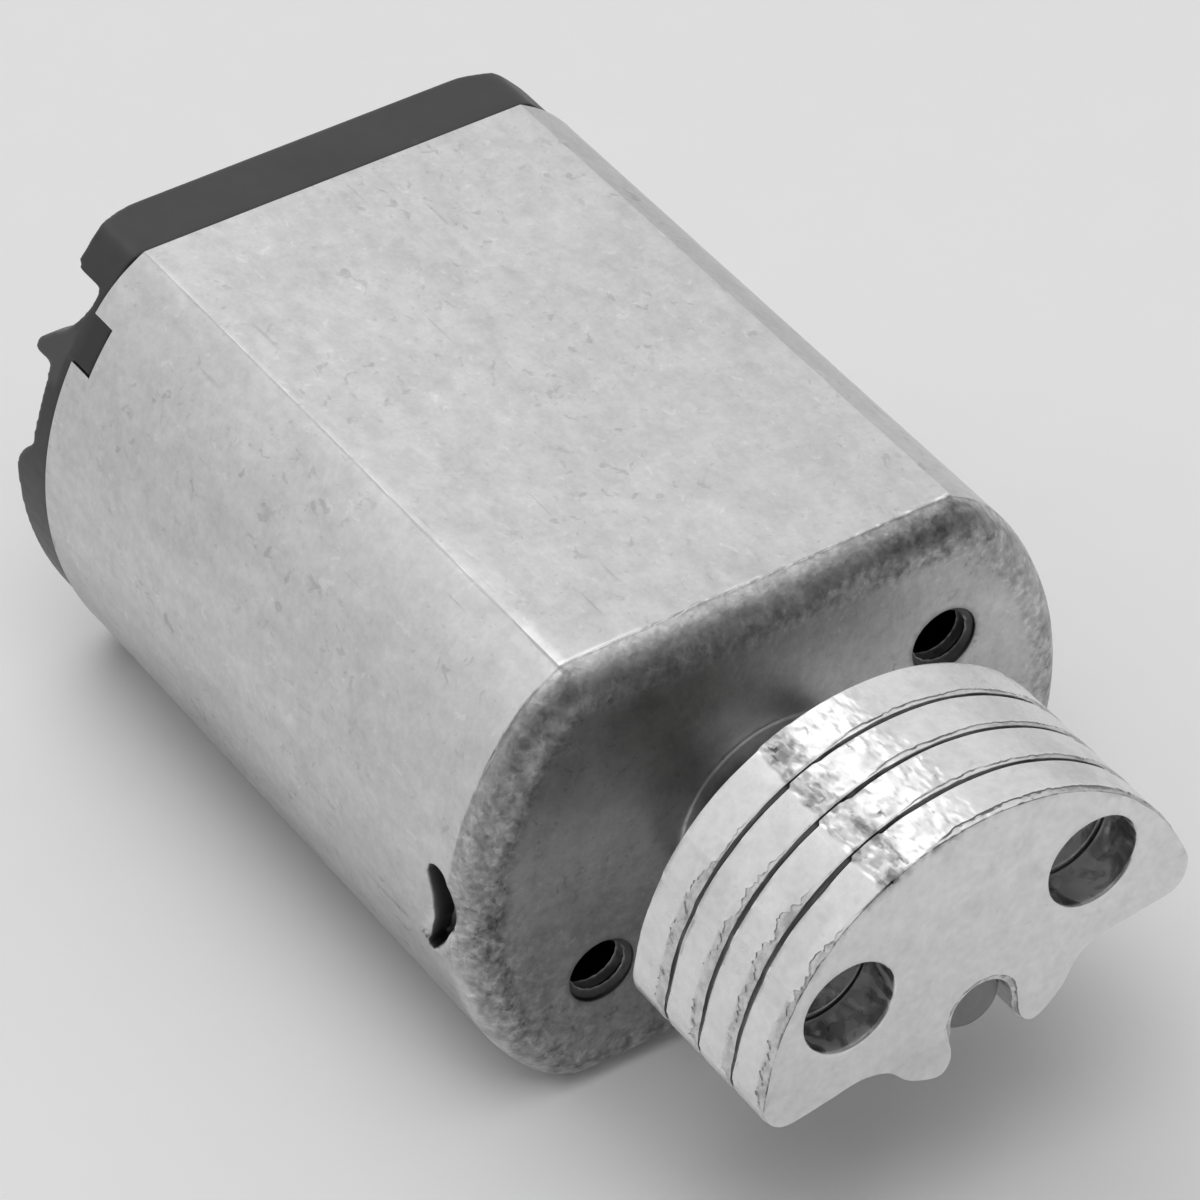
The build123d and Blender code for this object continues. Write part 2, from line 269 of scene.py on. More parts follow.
def profile(s, d=0.0):
    """Point and outward normal of the can's outline, drawn in by d, at arc length s from the middle of the lower flat towards +Y."""
    s, d = np.broadcast_arrays(np.asarray(s, float) % TOTAL_S, np.asarray(d, float))
    p, n = np.zeros(s.shape + (2,)), np.zeros(s.shape + (2,))
    half = TOTAL_S / 2
    # fold the second half on to the first by a half turn about the axis
    turn = s >= half
    q = np.where(turn, s - half, s)
    e1 = L_FLAT / 2
    e2 = e1 + L_CORNER
    e3 = e2 + L_SIDE
    e4 = e3 + L_CORNER
    yc = CY + np.sqrt(np.maximum((RHO - d) ** 2 - (H - d - CZ) ** 2, 1e-9))
    thc = np.arctan2(H - d - CZ, yc - CY)
    m = q < e1
    p[m] = np.stack([q[m] / e1 * yc[m], d[m] - H], 1)
    n[m] = (0, -1)
    m = (q >= e1) & (q < e2)
    a = thc[m] + (TH1 - thc[m]) * (q[m] - e1) / L_CORNER
    n[m] = np.stack([np.cos(a), -np.sin(a)], 1)
    p[m] = np.array([CY, -CZ]) + (RHO - d[m])[:, None] * n[m]
    m = (q >= e2) & (q < e3)
    a = -TH1 + 2 * TH1 * (q[m] - e2) / L_SIDE
    n[m] = np.stack([np.cos(a), np.sin(a)], 1)
    p[m] = (R - d[m])[:, None] * n[m]
    m = (q >= e3) & (q < e4)
    a = TH1 + (thc[m] - TH1) * (q[m] - e3) / L_CORNER
    n[m] = np.stack([np.cos(a), np.sin(a)], 1)
    p[m] = np.array([CY, CZ]) + (RHO - d[m])[:, None] * n[m]
    m = q >= e4
    p[m] = np.stack([yc[m] * (1 - (q[m] - e4) / e1), H - d[m]], 1)
    n[m] = (0, 1)
    p[turn] *= -1
    n[turn] *= -1
    return p, n


E1 = L_FLAT / 2
S_RIGHT = E1 + L_CORNER + L_SIDE / 2          # z = 0 on the right side
S_LEFT = S_RIGHT + TOTAL_S / 2
CREASES = [E1, TOTAL_S / 2 - E1, TOTAL_S / 2 + E1, TOTAL_S - E1]     # where a flat ends


def steps(marks, size):
    """Increasing values through all the marks, spaced by size(middle)."""
    marks = sorted(marks)
    out = [marks[0]]
    for a, b in zip(marks, marks[1:]):
        if b - a < 1e-6:
            continue
        k = max(1, int(math.ceil((b - a) / size((a + b) / 2) - 1e-6)))
        out += [a + (b - a) * i / k for i in range(1, k + 1)]
    return np.array(out)


def notch_s(side):
    """Arc lengths of the two edges of a rim notch."""
    lo_, hi_ = (math.radians(x) for x in NOTCH)
    if side > 0:
        return S_RIGHT + lo_ * R, S_RIGHT + hi_ * R
    return S_LEFT - hi_ * R, S_LEFT - lo_ * R


marks = [0, TOTAL_S]
for c in CREASES:
    marks += [c - 0.40, c - 0.12, c, c + 0.12, c + 0.40]
for s_ in (1, -1):
    marks += list(notch_s(s_))
for c in (S_RIGHT, S_LEFT):
    marks += [c - 2.4, c + 2.4]
S = steps(marks, lambda m: 0.015 if min(abs(m - c) for c in CREASES) < 0.12 else (
    0.05 if min(abs(m - c) for c in CREASES) < 0.40 else 0.13))[:-1]
T_END = -RB + RB * math.pi / 2
T = steps([-LEN, -LEN + 0.06, -LEN + NOTCH_D, -3.3, -1.2, -0.88, -0.1, T_END],
          lambda m: 0.015 if m < -LEN + 0.06 else (0.16 if m < -LEN + NOTCH_D else (0.24 if m < -3.3 else (
              0.14 if m < -1.2 else (0.02 if m < -0.88 else 0.055)))))
T_IN = steps([-LEN, -LEN + 0.06, -LEN + NOTCH_D, -3.6, -WALL],
             lambda m: 0.015 if m < -LEN + 0.06 else (0.16 if m < -LEN + NOTCH_D else (0.9 if m < -3.6 else 0.14)))


def base_point(s, t, depth=0.0):
    """A point of the outer surface, and its normal, at arc length s and t, which is X and then the arc of the bend."""
    s, t = np.broadcast_arrays(np.asarray(s, float), np.asarray(t, float))
    phi = np.clip((t + RB) / RB, 0, math.pi / 2)
    x = np.where(t < -RB, t, -RB + RB * np.sin(phi))
    inset = RB * (1 - np.cos(phi))
    u = np.clip((t + LEN) / 0.06, 0, 1)
    inset = inset + 0.05 * (1 - np.sqrt(np.clip(1 - (1 - u) ** 2, 0, 1)))
    # the kink rounds off over the bend
    w = 0.50 * ramp(-RB - 0.04, -RB + 0.45, t)
    p, n = 0, 0
    for k, g in ((-1, 0.14), (-0.6, 0.18), (-0.25, 0.18), (0.25, 0.18), (0.6, 0.18), (1, 0.14)):
        pk, nk = profile(s + k * w, inset)
        p, n = p + g * pk, n + g * nk
    n = n / np.linalg.norm(n, axis=-1)[..., None]
    pos = np.stack([x, p[..., 0], p[..., 1]], -1)
    nor = np.stack([np.sin(phi), np.cos(phi) * n[..., 0], np.cos(phi) * n[..., 1]], -1)
    return pos - nor * depth, nor


SLOT = np.array([(-2.04, 1.22), (-1.98, 1.40), (-1.85, 1.50), (-1.70, 1.57), (-1.50, 1.59), (-1.27, 1.54), (-1.05, 1.34), (-0.86, 1.08),
                 (-0.73, 0.84), (-0.66, 0.62), (-0.64, 0.40), (-0.68, 0.15), (-0.78, -0.06), (-0.93, -0.28), (-1.10, -0.58),
                 (-1.28, -0.92), (-1.48, -1.22), (-1.74, -1.52), (-1.98, -1.76), (-2.12, -1.76), (-2.15, -1.60), (-2.03, -1.22),
                 (-1.90, -0.86), (-1.76, -0.52), (-1.69, -0.2), (-1.68, 0.2), (-1.74, 0.56), (-1.88, 0.90)])


def slot_loop(grow=0.0, n=110):
    """The half-moon slot's outline, x and z, grown outwards."""
    p = spline(np.concatenate([SLOT, SLOT[:1]]), n=n)[:-1]
    d = np.roll(p, -1, 0) - np.roll(p, 1, 0)
    nrm = np.stack([d[:, 1], -d[:, 0]], 1)
    nrm /= np.linalg.norm(nrm, axis=1)[:, None]
    area = 0.5 * np.sum(p[:, 0] * np.roll(p[:, 1], -1) - np.roll(p[:, 0], -1) * p[:, 1])
    return p + nrm * grow * (1 if area > 0 else -1)


def slot_st(xz, side):
    """Slot outline in the can's own s and t."""
    x, z = xz[:, 0], xz[:, 1]
    t = np.where(x < -RB, x, -RB + RB * np.arcsin(np.clip((x + RB) / RB, -1, 1)))
    th = np.arcsin(np.clip(z / R, -1, 1))
    return np.stack([(S_RIGHT + th * R) if side > 0 else (S_LEFT - th * R), t], 1)


def pocket_depth(x, z):
    """Depth of the floor seen through the slot: the tongue, with a gap in front of it and a burr below the gap."""
    d = 0.62 + 0.42 * ramp(-1.75, -0.95, x)
    d = d + 0.75 * np.exp(-(((x + 0.80) * 0.75 + (z - 0.68) * 0.30) / 0.14) ** 2 - ((z - 0.62) / 0.42) ** 2)
    return d - 0.50 * np.exp(-((x + 0.70) / 0.16) ** 2 - ((z - 0.16) / 0.20) ** 2)


def facet(t, z):
    """1 at the slot's lower front edge, falling to 0 at the outer arc of the bright bevel beside it."""
    u = (np.asarray(t) + 0.93) * 0.85 - (np.asarray(z) + 0.28) * 0.53       # across the bevel, away from the slot
    v = (np.asarray(t) + 0.93) * 0.53 + (np.asarray(z) + 0.28) * 0.85       # along it
    width = 0.40 * np.sqrt(np.clip(1 - ((v + 0.62) / 1.02) ** 2, 0, 1))
    return np.clip(1 - np.clip(u + 0.05, 0, None) / np.maximum(width + 0.05, 1e-3), 0, 1) * (width > 0) * ramp(-1.0, -0.2, u + 0.0 * v)


def can_relief(pos, nor, s, t):
    """How far the can's skin lies below its nominal surface, in millimetres."""
    P = pos
    d = 0.014 + 0.0
    d = d - 0.004 * fbm(P, (0.10, 0.22, 0.22), 2, 3) - 0.0022 * fbm(P, (0.35, 0.9, 0.9), 2, 5)
    side_of = np.where(t < -RB, 1.0, np.cos(np.clip((t + RB) / RB, 0, math.pi / 2)))
    # the flat rolls off a little at its end, and a thin groove runs below that edge
    for k, c in enumerate(CREASES):
        u = (s - c) if k % 2 == 0 else (c - s)
        u = np.where(u > TOTAL_S / 2, u - TOTAL_S, np.where(u < -TOTAL_S / 2, u + TOTAL_S, u))
        along = np.stack([t, np.zeros_like(t) + 7.3 * k, np.zeros_like(t)], -1)
        u = u + 0.016 * noise(along, 1.1, 11) + 0.008 * noise(along, 3.7, 12)
        front = ramp(-16, -2, t)
        vis = np.clip(0.80 + 0.5 * noise(along, 0.8, 13) + 0.25 * noise(along, 2.6, 15), 0.25, 1.2) * ramp(-RB + 0.30, -RB - 0.06, t)
        width = 0.18 + 0.18 * front + 0.05 * noise(along, 1.7, 14)
        band_ = np.clip(1 + u / width, 0, 1) ** 1.6
        d = d + vis * (0.009 + 0.021 * front) * np.where(u < 0, band_, ramp(1.3, 0.0, u))
        d = d + vis * (0.014 + 0.030 * front) * ramp(-0.005, 0.050 + 0.035 * front, u) * ramp(1.5, 0.05, u)
    P3 = P
    yabs = np.abs(P3[..., 1])
    zabs = np.abs(P3[..., 2])
    flat = ramp(YC + 0.05, YC - 0.10, yabs) * ramp(H - 1.3, H - 0.8, zabs)
    # the flat's front edge stands up as a thin lip, sharpest at the corners
    lip = bell(t + RB + 0.02 + 0.012 * noise(P3, 1.6, 16), 0.030) * flat * (0.35 + 0.65 * ramp(2.6, 6.0, yabs))
    d = d - 0.006 * lip * side_of
    # the flat breaks off at an angle before the bend rounds
    v = np.clip(t + RB, 0, None)
    onflat = ramp(YC + 0.3, YC - 0.4, yabs)
    crisp = np.maximum(onflat, 0.15 + 0.85 * ramp(-3.5, 0.5, P3[..., 2]))
    d = d + crisp * (0.38 - 0.10 * onflat) * v * np.exp(-v / (0.26 + 0.20 * onflat))
    # drawn texture of the bend and of the skin next to it
    band = ramp(-RB - 0.03, -RB + 0.10, t) * (1 - 0.25 * ramp(0.2, 0.6, t))
    d = d + band * (0.010 + 0.0065 * np.abs(fbm(P3, 3.4, 3, 21)) + 0.003 * fbm(P3, 9.0, 2, 22))
    # short pull marks behind the bend on the curved sides
    mark = np.clip(noise(P3, (0.8, 3.4, 3.4), 31) - 0.35, 0, 1) * ramp(-2.6, -1.0, t) * (1 - flat)
    d = d + 0.012 * mark * side_of
    # the skin dips towards the rear edge of each slot
    for side in (1, -1):
        sc = S_RIGHT if side > 0 else S_LEFT
        z = (s - sc) * side
        z = np.where(z > TOTAL_S / 2, z - TOTAL_S, np.where(z < -TOTAL_S / 2, z + TOTAL_S, z))
        rear = -1.69 - 0.13 * np.abs(z) ** 2
        gap = rear - t
        d = d + 0.035 * np.exp(-np.clip(gap, 0, None) / 0.20) * (gap > -0.3) * ramp(1.75, 1.2, np.abs(z)) * (t < -0.6)
        d = d + 0.16 * facet(t, z)
    return d


def skin(s, t):
    shape = np.broadcast(np.asarray(s), np.asarray(t)).shape
    s = np.broadcast_to(s, shape).reshape(-1).astype(float)
    t = np.broadcast_to(t, shape).reshape(-1).astype(float)
    pos, nor = base_point(s, t)
    d = can_relief(pos, nor, s, t)
    keep = ramp(-LEN, -LEN + 0.2, t) * 0.6 + 0.4
    return (pos - nor * (d * keep)[:, None]).reshape(shape + (3,))


def front_relief(pts):
    """Relief of the front face at (y, z)."""
    P = np.stack([np.zeros(len(pts)), pts[:, 0], pts[:, 1]], 1)
    r = np.hypot(pts[:, 0], pts[:, 1])
    edge = np.minimum(R - RB - r, H - RB - np.abs(pts[:, 1]))
    d = 0.014 - 0.004 * fbm(P, 0.25, 2, 3)
    low = ramp(2.0, -5.0, pts[:, 1])
    reach = 0.7 + 1.5 * low * ramp(2, 6, np.abs(pts[:, 0]))
    m = np.clip(1 - edge / reach, 0, 1)
    d = d + m * 0.75 * (0.010 + 0.0065 * np.abs(fbm(P, 3.4, 3, 21)))
    v = 1.57 * RB + np.clip(H - RB - np.abs(pts[:, 1]), 0, None)
    d = d + 0.28 * v * np.exp(-v / 0.46) * ramp(YC + 0.3, YC - 0.4, np.abs(pts[:, 0]))
    # a small smear beside the boss
    smear = bell(np.hypot(pts[:, 0] - 1.1, (pts[:, 1] - 3.9) * 0.8), 0.55) * (0.5 + 0.5 * fbm(P, 2.6, 3, 41))
    return d - 0.012 * np.clip(smear, 0, 1)


can = Mesh()
ni, nj = len(S), len(T)
SS, TT = np.meshgrid(S, T)
outer = skin(SS, TT)
skip = np.zeros((nj - 1, ni), bool)
notch_cols = {}
j_notch = int(np.argmin(np.abs(T - (-LEN + NOTCH_D))))
for side in (1, -1):
    a, b = notch_s(side)
    ia, ib = int(np.argmin(np.abs(S - a))), int(np.argmin(np.abs(S - b)))
    notch_cols[side] = (ia, ib)
    skip[:j_notch, ia:ib] = True
j0, j1 = int(np.argmin(np.abs(T + 3.3))), int(np.argmin(np.abs(T + 0.1)))
for side in (1, -1):
    sc = S_RIGHT if side > 0 else S_LEFT
    i0, i1 = int(np.argmin(np.abs(S - (sc - 2.4)))), int(np.argmin(np.abs(S - (sc + 2.4))))
    skip[j0:j1, i0:i1] = True
    ring = [(S[i], T[j0]) for i in range(i0, i1)] + [(S[i1], T[j]) for j in range(j0, j1)]
    ring += [(S[i], T[j1]) for i in range(i1, i0, -1)] + [(S[i0], T[j]) for j in range(j1, j0, -1)]
    edge = slot_st(slot_loop(0.05), side)
    p2, tri = fill(ring, [edge], 0.085, seed=5 + side)
    can.add(skin(p2[:, 0], p2[:, 1]), tri)
    # the slot's wall and the tongue pressed in below it
    rings = []
    for grow, dep in ((0.05, 0.0), (0.030, 0.012), (0.012, 0.035), (0.0, 0.08), (0.0, 0.3), (-0.01, 0.55), (-0.02, 0.80), (-0.02, 1.0)):
        st = slot_st(slot_loop(grow), side)
        top = skin(st[:, 0], st[:, 1])
        _, nn = base_point(st[:, 0], np.minimum(st[:, 1], -RB))
        rings.append(top - nn * dep)
    rings = np.array(rings)
    xz = slot_loop(-0.02)
    # how deep the wall goes: shallow at the rear, where the tongue hangs on
    floor_depth = pocket_depth(xz[:, 0], xz[:, 1])
    st = slot_st(xz, side)
    _, nn = base_point(st[:, 0], np.minimum(st[:, 1], -RB))
    top0 = skin(st[:, 0], st[:, 1])
    for k, dep in ((4, 0.3), (5, 0.55), (6, 0.8), (7, 1.0)):
        rings[k] = top0 - nn * (floor_depth * dep)[:, None]
    can.grid(rings, wrap=True)
    pf, tf = fill(xz, [], 0.1, seed=9)
    st = slot_st(pf, side)
    base, nn = base_point(st[:, 0], np.minimum(st[:, 1], -RB))
    sk = skin(st[:, 0], st[:, 1])
    dep = pocket_depth(pf[:, 0], pf[:, 1])
    # the tongue ends short of the front edge, which leaves a dark gap
    can.add(sk - nn * dep[:, None], tf)
can.grid(outer, wrap=True, skip=skip)

# inner skin, with a swelling behind each slot for the tongue
SI, TI = np.meshgrid(S, T_IN)
ti = TI.reshape(-1)
swell = np.zeros(len(ti))
for side in (1, -1):
    sc = S_RIGHT if side > 0 else S_LEFT
    z = (SI.reshape(-1) - sc)
    swell += 0.85 * ramp(2.5, 1.8, np.abs(z)) * ramp(-3.2, -2.3, ti)
inner_d = WALL + swell
pin, nin_ = profile(SI.reshape(-1), inner_d)
inner = np.stack([ti, pin[:, 0], pin[:, 1]], 1).reshape(len(T_IN), ni, 3)
skip_in = np.zeros((len(T_IN) - 1, ni), bool)
jn_in = int(np.argmin(np.abs(T_IN - (-LEN + NOTCH_D))))
for side in (1, -1):
    ia, ib = notch_cols[side]
    skip_in[:jn_in, ia:ib] = True
can.grid(inner, wrap=True, skip=skip_in)
# rim, and the notch walls
rim_skip = np.zeros((1, ni), bool)
for side in (1, -1):
    ia, ib = notch_cols[side]
    rim_skip[0, ia:ib] = True
can.grid(np.stack([outer[0], inner[0]]), wrap=True, skip=rim_skip)
for side in (1, -1):
    ia, ib = notch_cols[side]
    can.grid(np.stack([outer[j_notch, ia:ib + 1], inner[jn_in, ia:ib + 1]]))
    for c in (ia, ib):
        can.grid(np.stack([outer[:j_notch + 1, c], inner[:jn_in + 1, c]]))

# front face
loop_out = outer[-1][:, 1:]
hy, hz = PCD / 2 * math.cos(math.radians(HOLE_ANGLE)), PCD / 2 * math.sin(math.radians(HOLE_ANGLE))
NB, NH = 120, 72
boss_loop = circle(BOSS_R + 0.10, NB)
hole_loops = [circle(HOLE_R + 0.11, NH, s_ * hy, s_ * hz) for s_ in (1, -1)]
p2, tri = fill(loop_out, [boss_loop] + hole_loops, 0.16, seed=2)
rel = front_relief(p2)
on_edge = near(loop_out, p2, 0.01)
rel_x = -rel
# the outer ring keeps the bend's own last row
lookup = {(round(float(y), 4), round(float(z), 4)): float(x) for x, y, z in outer[-1]}
for k in np.nonzero(on_edge)[0]:
    rel_x[k] = lookup.get((round(float(p2[k, 0]), 4), round(float(p2[k, 1]), 4)), rel_x[k])
can.add(np.column_stack([rel_x, p2]), tri)


def lathe(mesh, rings, n, cy=0.0, cz=0.0, start_x=None):
    """rings: (x, r). start_x, where given, is the first ring's own x values."""
    a = np.arange(n) * 2 * math.pi / n
    out = []
    for k, (x, r) in enumerate(rings):
        xs = start_x if (k == 0 and start_x is not None) else np.full(n, x)
        out.append(np.column_stack([xs, cy + r * np.cos(a), cz + r * np.sin(a)]))
    mesh.grid(np.array(out), wrap=True)


def arc_rings(cx, cr, rad, a0, a1, k):
    return [(cx + rad * math.cos(math.radians(a)), cr + rad * math.sin(math.radians(a))) for a in np.linspace(a0, a1, k)]


rings = [(0, BOSS_R + 0.10)] + arc_rings(0.09, BOSS_R + 0.10, 0.10, 180 + 12, 270, 6)
rings += [(0.5, BOSS_R), (0.9, BOSS_R - 0.004), (1.2, BOSS_R - 0.006)]
rings += arc_rings(BOSS_L - 0.36, BOSS_R - 0.37, 0.36, 90, 0, 9)
rings += [(BOSS_L - 0.006, 2.4), (BOSS_L - 0.01, 2.0), (BOSS_L - 0.012, LIP_R + 0.12), (BOSS_L - 0.05, LIP_R + 0.03),
          (BOSS_L - 0.12, LIP_R), (1.26, LIP_R), (1.26, BUSH_R), (-WALL, BUSH_R)]
lathe(can, rings, NB, start_x=-front_relief(boss_loop))
for s_ in (1, -1):
    cy, cz = s_ * hy, s_ * hz
    a = np.arange(NH) * 2 * math.pi / NH
    loop = circle(HOLE_R + 0.11, NH, cy, cz)
    xs0 = -front_relief(loop)
    rows = [np.column_stack([xs0, loop])]
    for x, r in ((-0.018, 1.085), (-0.032, 1.068), (-0.06, 1.056), (-0.10, 1.052)):
        rows.append(np.column_stack([np.full(NH, x), cy + r * np.cos(a), cz + r * np.sin(a)]))
    depth = np.arange(-0.15, -WALL + 0.001, -0.0217)
    for x in depth:
        w = ramp(-0.09, -0.19, x) * ramp(-WALL - 0.0, -WALL + 0.1, x)
        ph = (-x / 0.4 + (a / (2 * math.pi))) % 1.0
        crest = np.clip(1 - np.abs(ph - 0.5) * 2 / 0.86, 0, 1) ** 1.3
        r = 1.05 - w * 0.22 * crest
        rows.append(np.column_stack([np.full(NH, x), cy + r * np.cos(a), cz + r * np.sin(a)]))
    rows.append(np.column_stack([np.full(NH, -WALL), cy + 1.0 * np.cos(a), cz + 1.0 * np.sin(a)]))
    can.grid(np.array(rows), wrap=True)
# inside of the front wall
p2, tri = fill(inner[-1][:, 1:], [circle(BUSH_R, NB)] + [circle(1.0, NH, s_ * hy, s_ * hz) for s_ in (1, -1)], 0.8, seed=4)
can.add(np.column_stack([np.full(len(p2), -WALL), p2]), tri)
can_ob = can.make("can_shell", merge=0.003)


# ============================================================= weight plates
def shards(u, v, size, seed, stretch=1.0):
    """Height of a crumpled skin: each patch of a jittered grid has a small tilt of its own."""
    q = np.column_stack([u, np.broadcast_to(v, np.shape(u)) * stretch]) / size
    i0 = np.floor(q).astype(np.int64)
    best, out = np.full(len(q), 9e9), np.zeros(len(q))
    for di in (-1, 0, 1):
        for dj in (-1, 0, 1):
            i, j = i0[:, 0] + di, i0[:, 1] + dj
            du = q[:, 0] - i - 0.5 - 0.42 * _rnd(i, j, 0, seed)
            dv = q[:, 1] - j - 0.5 - 0.42 * _rnd(i, j, 1, seed)
            d = du * du + dv * dv
            h = du * _rnd(i, j, 2, seed) + dv * _rnd(i, j, 3, seed) + 0.3 * _rnd(i, j, 4, seed)
            m = d < best
            best, out = np.where(m, d, best), np.where(m, h, out)
    return out


def plate_outline():
    """Closed outline in the weight's own axes, counter-clockwise, with a tag for each point."""
    a = math.radians(10.0)
    rim_end = (PLATE_R * math.cos(a), PLATE_R * math.sin(a))
    th = np.radians(np.linspace(90, 10, 240))
    rr = PLATE_R - 0.035 * ramp(38.9, 36.5, np.degrees(th)) + 0.035 * ramp(17, 11, np.degrees(th))
    arc = np.stack([rr * np.cos(th), rr * np.sin(th)], 1)
    tip = spline([rim_end, (6.98, 0.62), (6.62, 0.2), (6.0, 0.1)], (math.sin(a), -math.cos(a)), (-1, 0), 44)
    under = np.stack([np.linspace(6.0, 4.3, 12), np.linspace(0.1, 0.14, 12)], 1)
    toe = spline([(4.3, 0.14), (3.6, 0.02), (3.12, -0.28), (2.75, -0.78), (2.4, -1.12), (1.95, -1.4), (1.5, -1.5), (1.18, -1.22),
                  (1.06, -0.5)], (-1, 0.02), (-0.1, 1), 110)
    wallp = np.stack([np.linspace(1.06, 1.0, 8), np.linspace(-0.5, 0, 8)], 1)
    bt = np.radians(np.linspace(0, 90, 26))
    bore = np.stack([np.cos(bt), np.sin(bt)], 1)
    half, tags = [], []
    for piece, tag in ((arc, 0), (tip, 1), (under, 1), (toe, 1), (wallp, 2), (bore, 3)):
        for q in piece:
            if half and math.dist(q, half[-1]) < 1e-4:
                continue
            half.append(tuple(q))
            tags.append(tag)
    half = np.array(half)
    tags = np.array(tags)
    other = half[1:-1][::-1] * [-1, 1]
    # from the top of the arc clockwise down the right side, and back up the left side
    pts = np.concatenate([half, other])
    tag = np.concatenate([tags, tags[1:-1][::-1]])
    return pts, tag


OUT, TAG = plate_outline()
_d = np.roll(OUT, -1, 0) - np.roll(OUT, 1, 0)
NRM = np.stack([-_d[:, 1], _d[:, 0]], 1)
NRM /= np.linalg.norm(NRM, axis=1)[:, None]
if np.sum(NRM[:20] * OUT[:20]) < 0:
    NRM = -NRM
SEG = np.concatenate([[0], np.cumsum(np.linalg.norm(np.diff(OUT, axis=0), axis=1))])
ct, st_ = math.cos(math.radians(TURN)), math.sin(math.radians(TURN))


def turned(p):
    return np.stack([p[:, 0] * ct - p[:, 1] * st_, p[:, 0] * st_ + p[:, 1] * ct], 1)


def plate(index):
    """One punched plate: rolled rear edge, sheared rim, torn zone along the front edge."""
    seed = 100 + 31 * index
    x1 = FRONT - (3 - index) * PITCH
    x0 = x1 - PLATE_T
    m = Mesh()
    n = len(OUT)
    ang = np.degrees(np.arctan2(OUT[:, 0], OUT[:, 1]))           # 0 at the top of the fan, + to its right
    Q = np.column_stack([OUT * 1.0, np.full(n, float(index) * 9.1)])
    on_rim = (TAG == 0).astype(float)
    arc = np.radians(ang) * PLATE_R
    bore = (TAG == 3)
    rag = 1.3 * noise(Q, 2.2, seed + 40) + 0.8 * noise(Q, 5.5, seed + 41)
    slant = ang - 0.9 * (3 - index)
    strip = ramp(-21.6, -20.2, slant + 0.6 * rag) * ramp(-12.0, -14.0, slant + rag) * on_rim
    rough = ramp(-21.2, -20.0, slant) * ramp(15.0, 0.0, ang + 3 * rag) * on_rim
    left = ramp(-24, -42, ang) * on_rim
    low = ramp(-50, -66, ang) * on_rim + (TAG == 1) * ramp(0.5, -0.5, OUT[:, 0])
    right = ramp(-8, 2, ang) * on_rim + (TAG == 1) * ramp(-0.5, 0.5, OUT[:, 0])
    # ragged width of the torn zone along the front edge
    jag = 1.2 * np.abs(noise(Q, 1.1, seed + 1)) + 0.55 * np.abs(noise(Q, 4.0, seed + 2)) + 0.3 * noise(Q, 9.0, seed + 3)
    tear = 0.045 + left * (0.03 + 0.27 * np.clip(jag, 0, 1.4)) + low * (0.10 + 0.10 * jag) + right * (0.05 + 0.07 * np.clip(jag, 0, 1.2))
    tear = np.clip(tear, 0.035, 0.45)
    if index == 3:
        tear = tear + 0.09 * right
    tear[bore] = 0.14 if index < 3 else 0.055
    deep = 0.010 + 0.030 * np.clip(left + low, 0, 1) + 0.012 * right
    deep = deep * (0.8 + 0.4 * noise(Q, 2.0, seed + 4))
    if index == 3:
        deep = deep + 0.026 * right
    deep[bore] = 0.05 if index < 3 else 0.19
    inner_ = (TAG == 2) | (TAG == 3)
    deep[TAG == 2] = 0.05 if index < 3 else 0.11
    tear[TAG == 2] = 0.14 if index < 3 else 0.06
    for k in range(-8, 9):
        inner_ = inner_ | np.roll((TAG == 2), k)
    for _ in range(14):
        deep = np.where(inner_, 0.25 * np.roll(deep, 1) + 0.5 * deep + 0.25 * np.roll(deep, -1), deep)
        tear = np.where(inner_, 0.25 * np.roll(tear, 1) + 0.5 * tear + 0.25 * np.roll(tear, -1), tear)
    deep = deep + bore * 0.030 * (noise(Q, 5.0, seed + 50) + 0.6 * noise(Q, 10.0, seed + 51)) * (index == 3)
    # the rear edge falls away steeply, which makes the dark line between plates
    open_ = (1 - 0.88 * np.clip(strip * 1.2, 0, 1)) * np.clip(0.85 + 0.3 * noise(Q, 0.8, seed + 5), 0.5, 1.15)
    open_ = open_ * (1 - 0.35 * ramp(-14, -6, ang) * ramp(60, 20, ang)) * (1 - 0.6 * ramp(-72, -84, ang) * on_rim)
    open_[bore] = 0.35
    if index == 0:
        open_ = open_ * 0.35
    # the die left the left half of the rim slightly many-sided
    facet_d = np.mod(ang + 24.0 + 0.8 * rag, 9.0) - 4.5
    poly = 0.6 * PLATE_R * (1 - math.cos(math.radians(4.5)) / np.cos(np.radians(facet_d))) * ramp(-24, -28, ang) * ramp(-86, -82, ang) * on_rim
    prof = []
    for fx, fd in ((0.0, 0.34), (0.06, 0.33), (0.100, 0.30), (0.112, 0.14), (0.122, 0.045), (0.138, 0.010), (0.16, 0.001)):
        prof.append((x0 + fx * open_, 0.012 + fd * open_))
    start = x0 + 0.16 * open_
    shear = x1 - tear
    NR = 15
    for k in range(1, NR + 1):
        f = k / (NR + 1)
        xx = start * (1 - f) + shear * f
        w = 0.0030 * fbm(np.column_stack([Q[:, :2], xx * 1.3]), (1.1, 1.1, 0.6), 2, seed + 6)
        g = shards(arc, xx, 0.34, seed + 7, 0.75) * (0.026 * rough + 0.016 * strip) + 0.004 * shards(arc, xx, 0.9, seed + 8, 0.6)
        g = g + shards(arc, xx, 0.16, seed + 13, 0.8) * (0.008 * rough + 0.004 * strip)
        facet_line = 0.010 * bell(ang + 51 + 0.8 * noise(np.column_stack([Q[:, :2] * 0, xx]), 1.2, seed + 14), 0.55) * on_rim
        prof.append((xx, 0.016 + w + g + 0.004 * strip + facet_line + poly))
    st1 = 0.004 * strip + poly
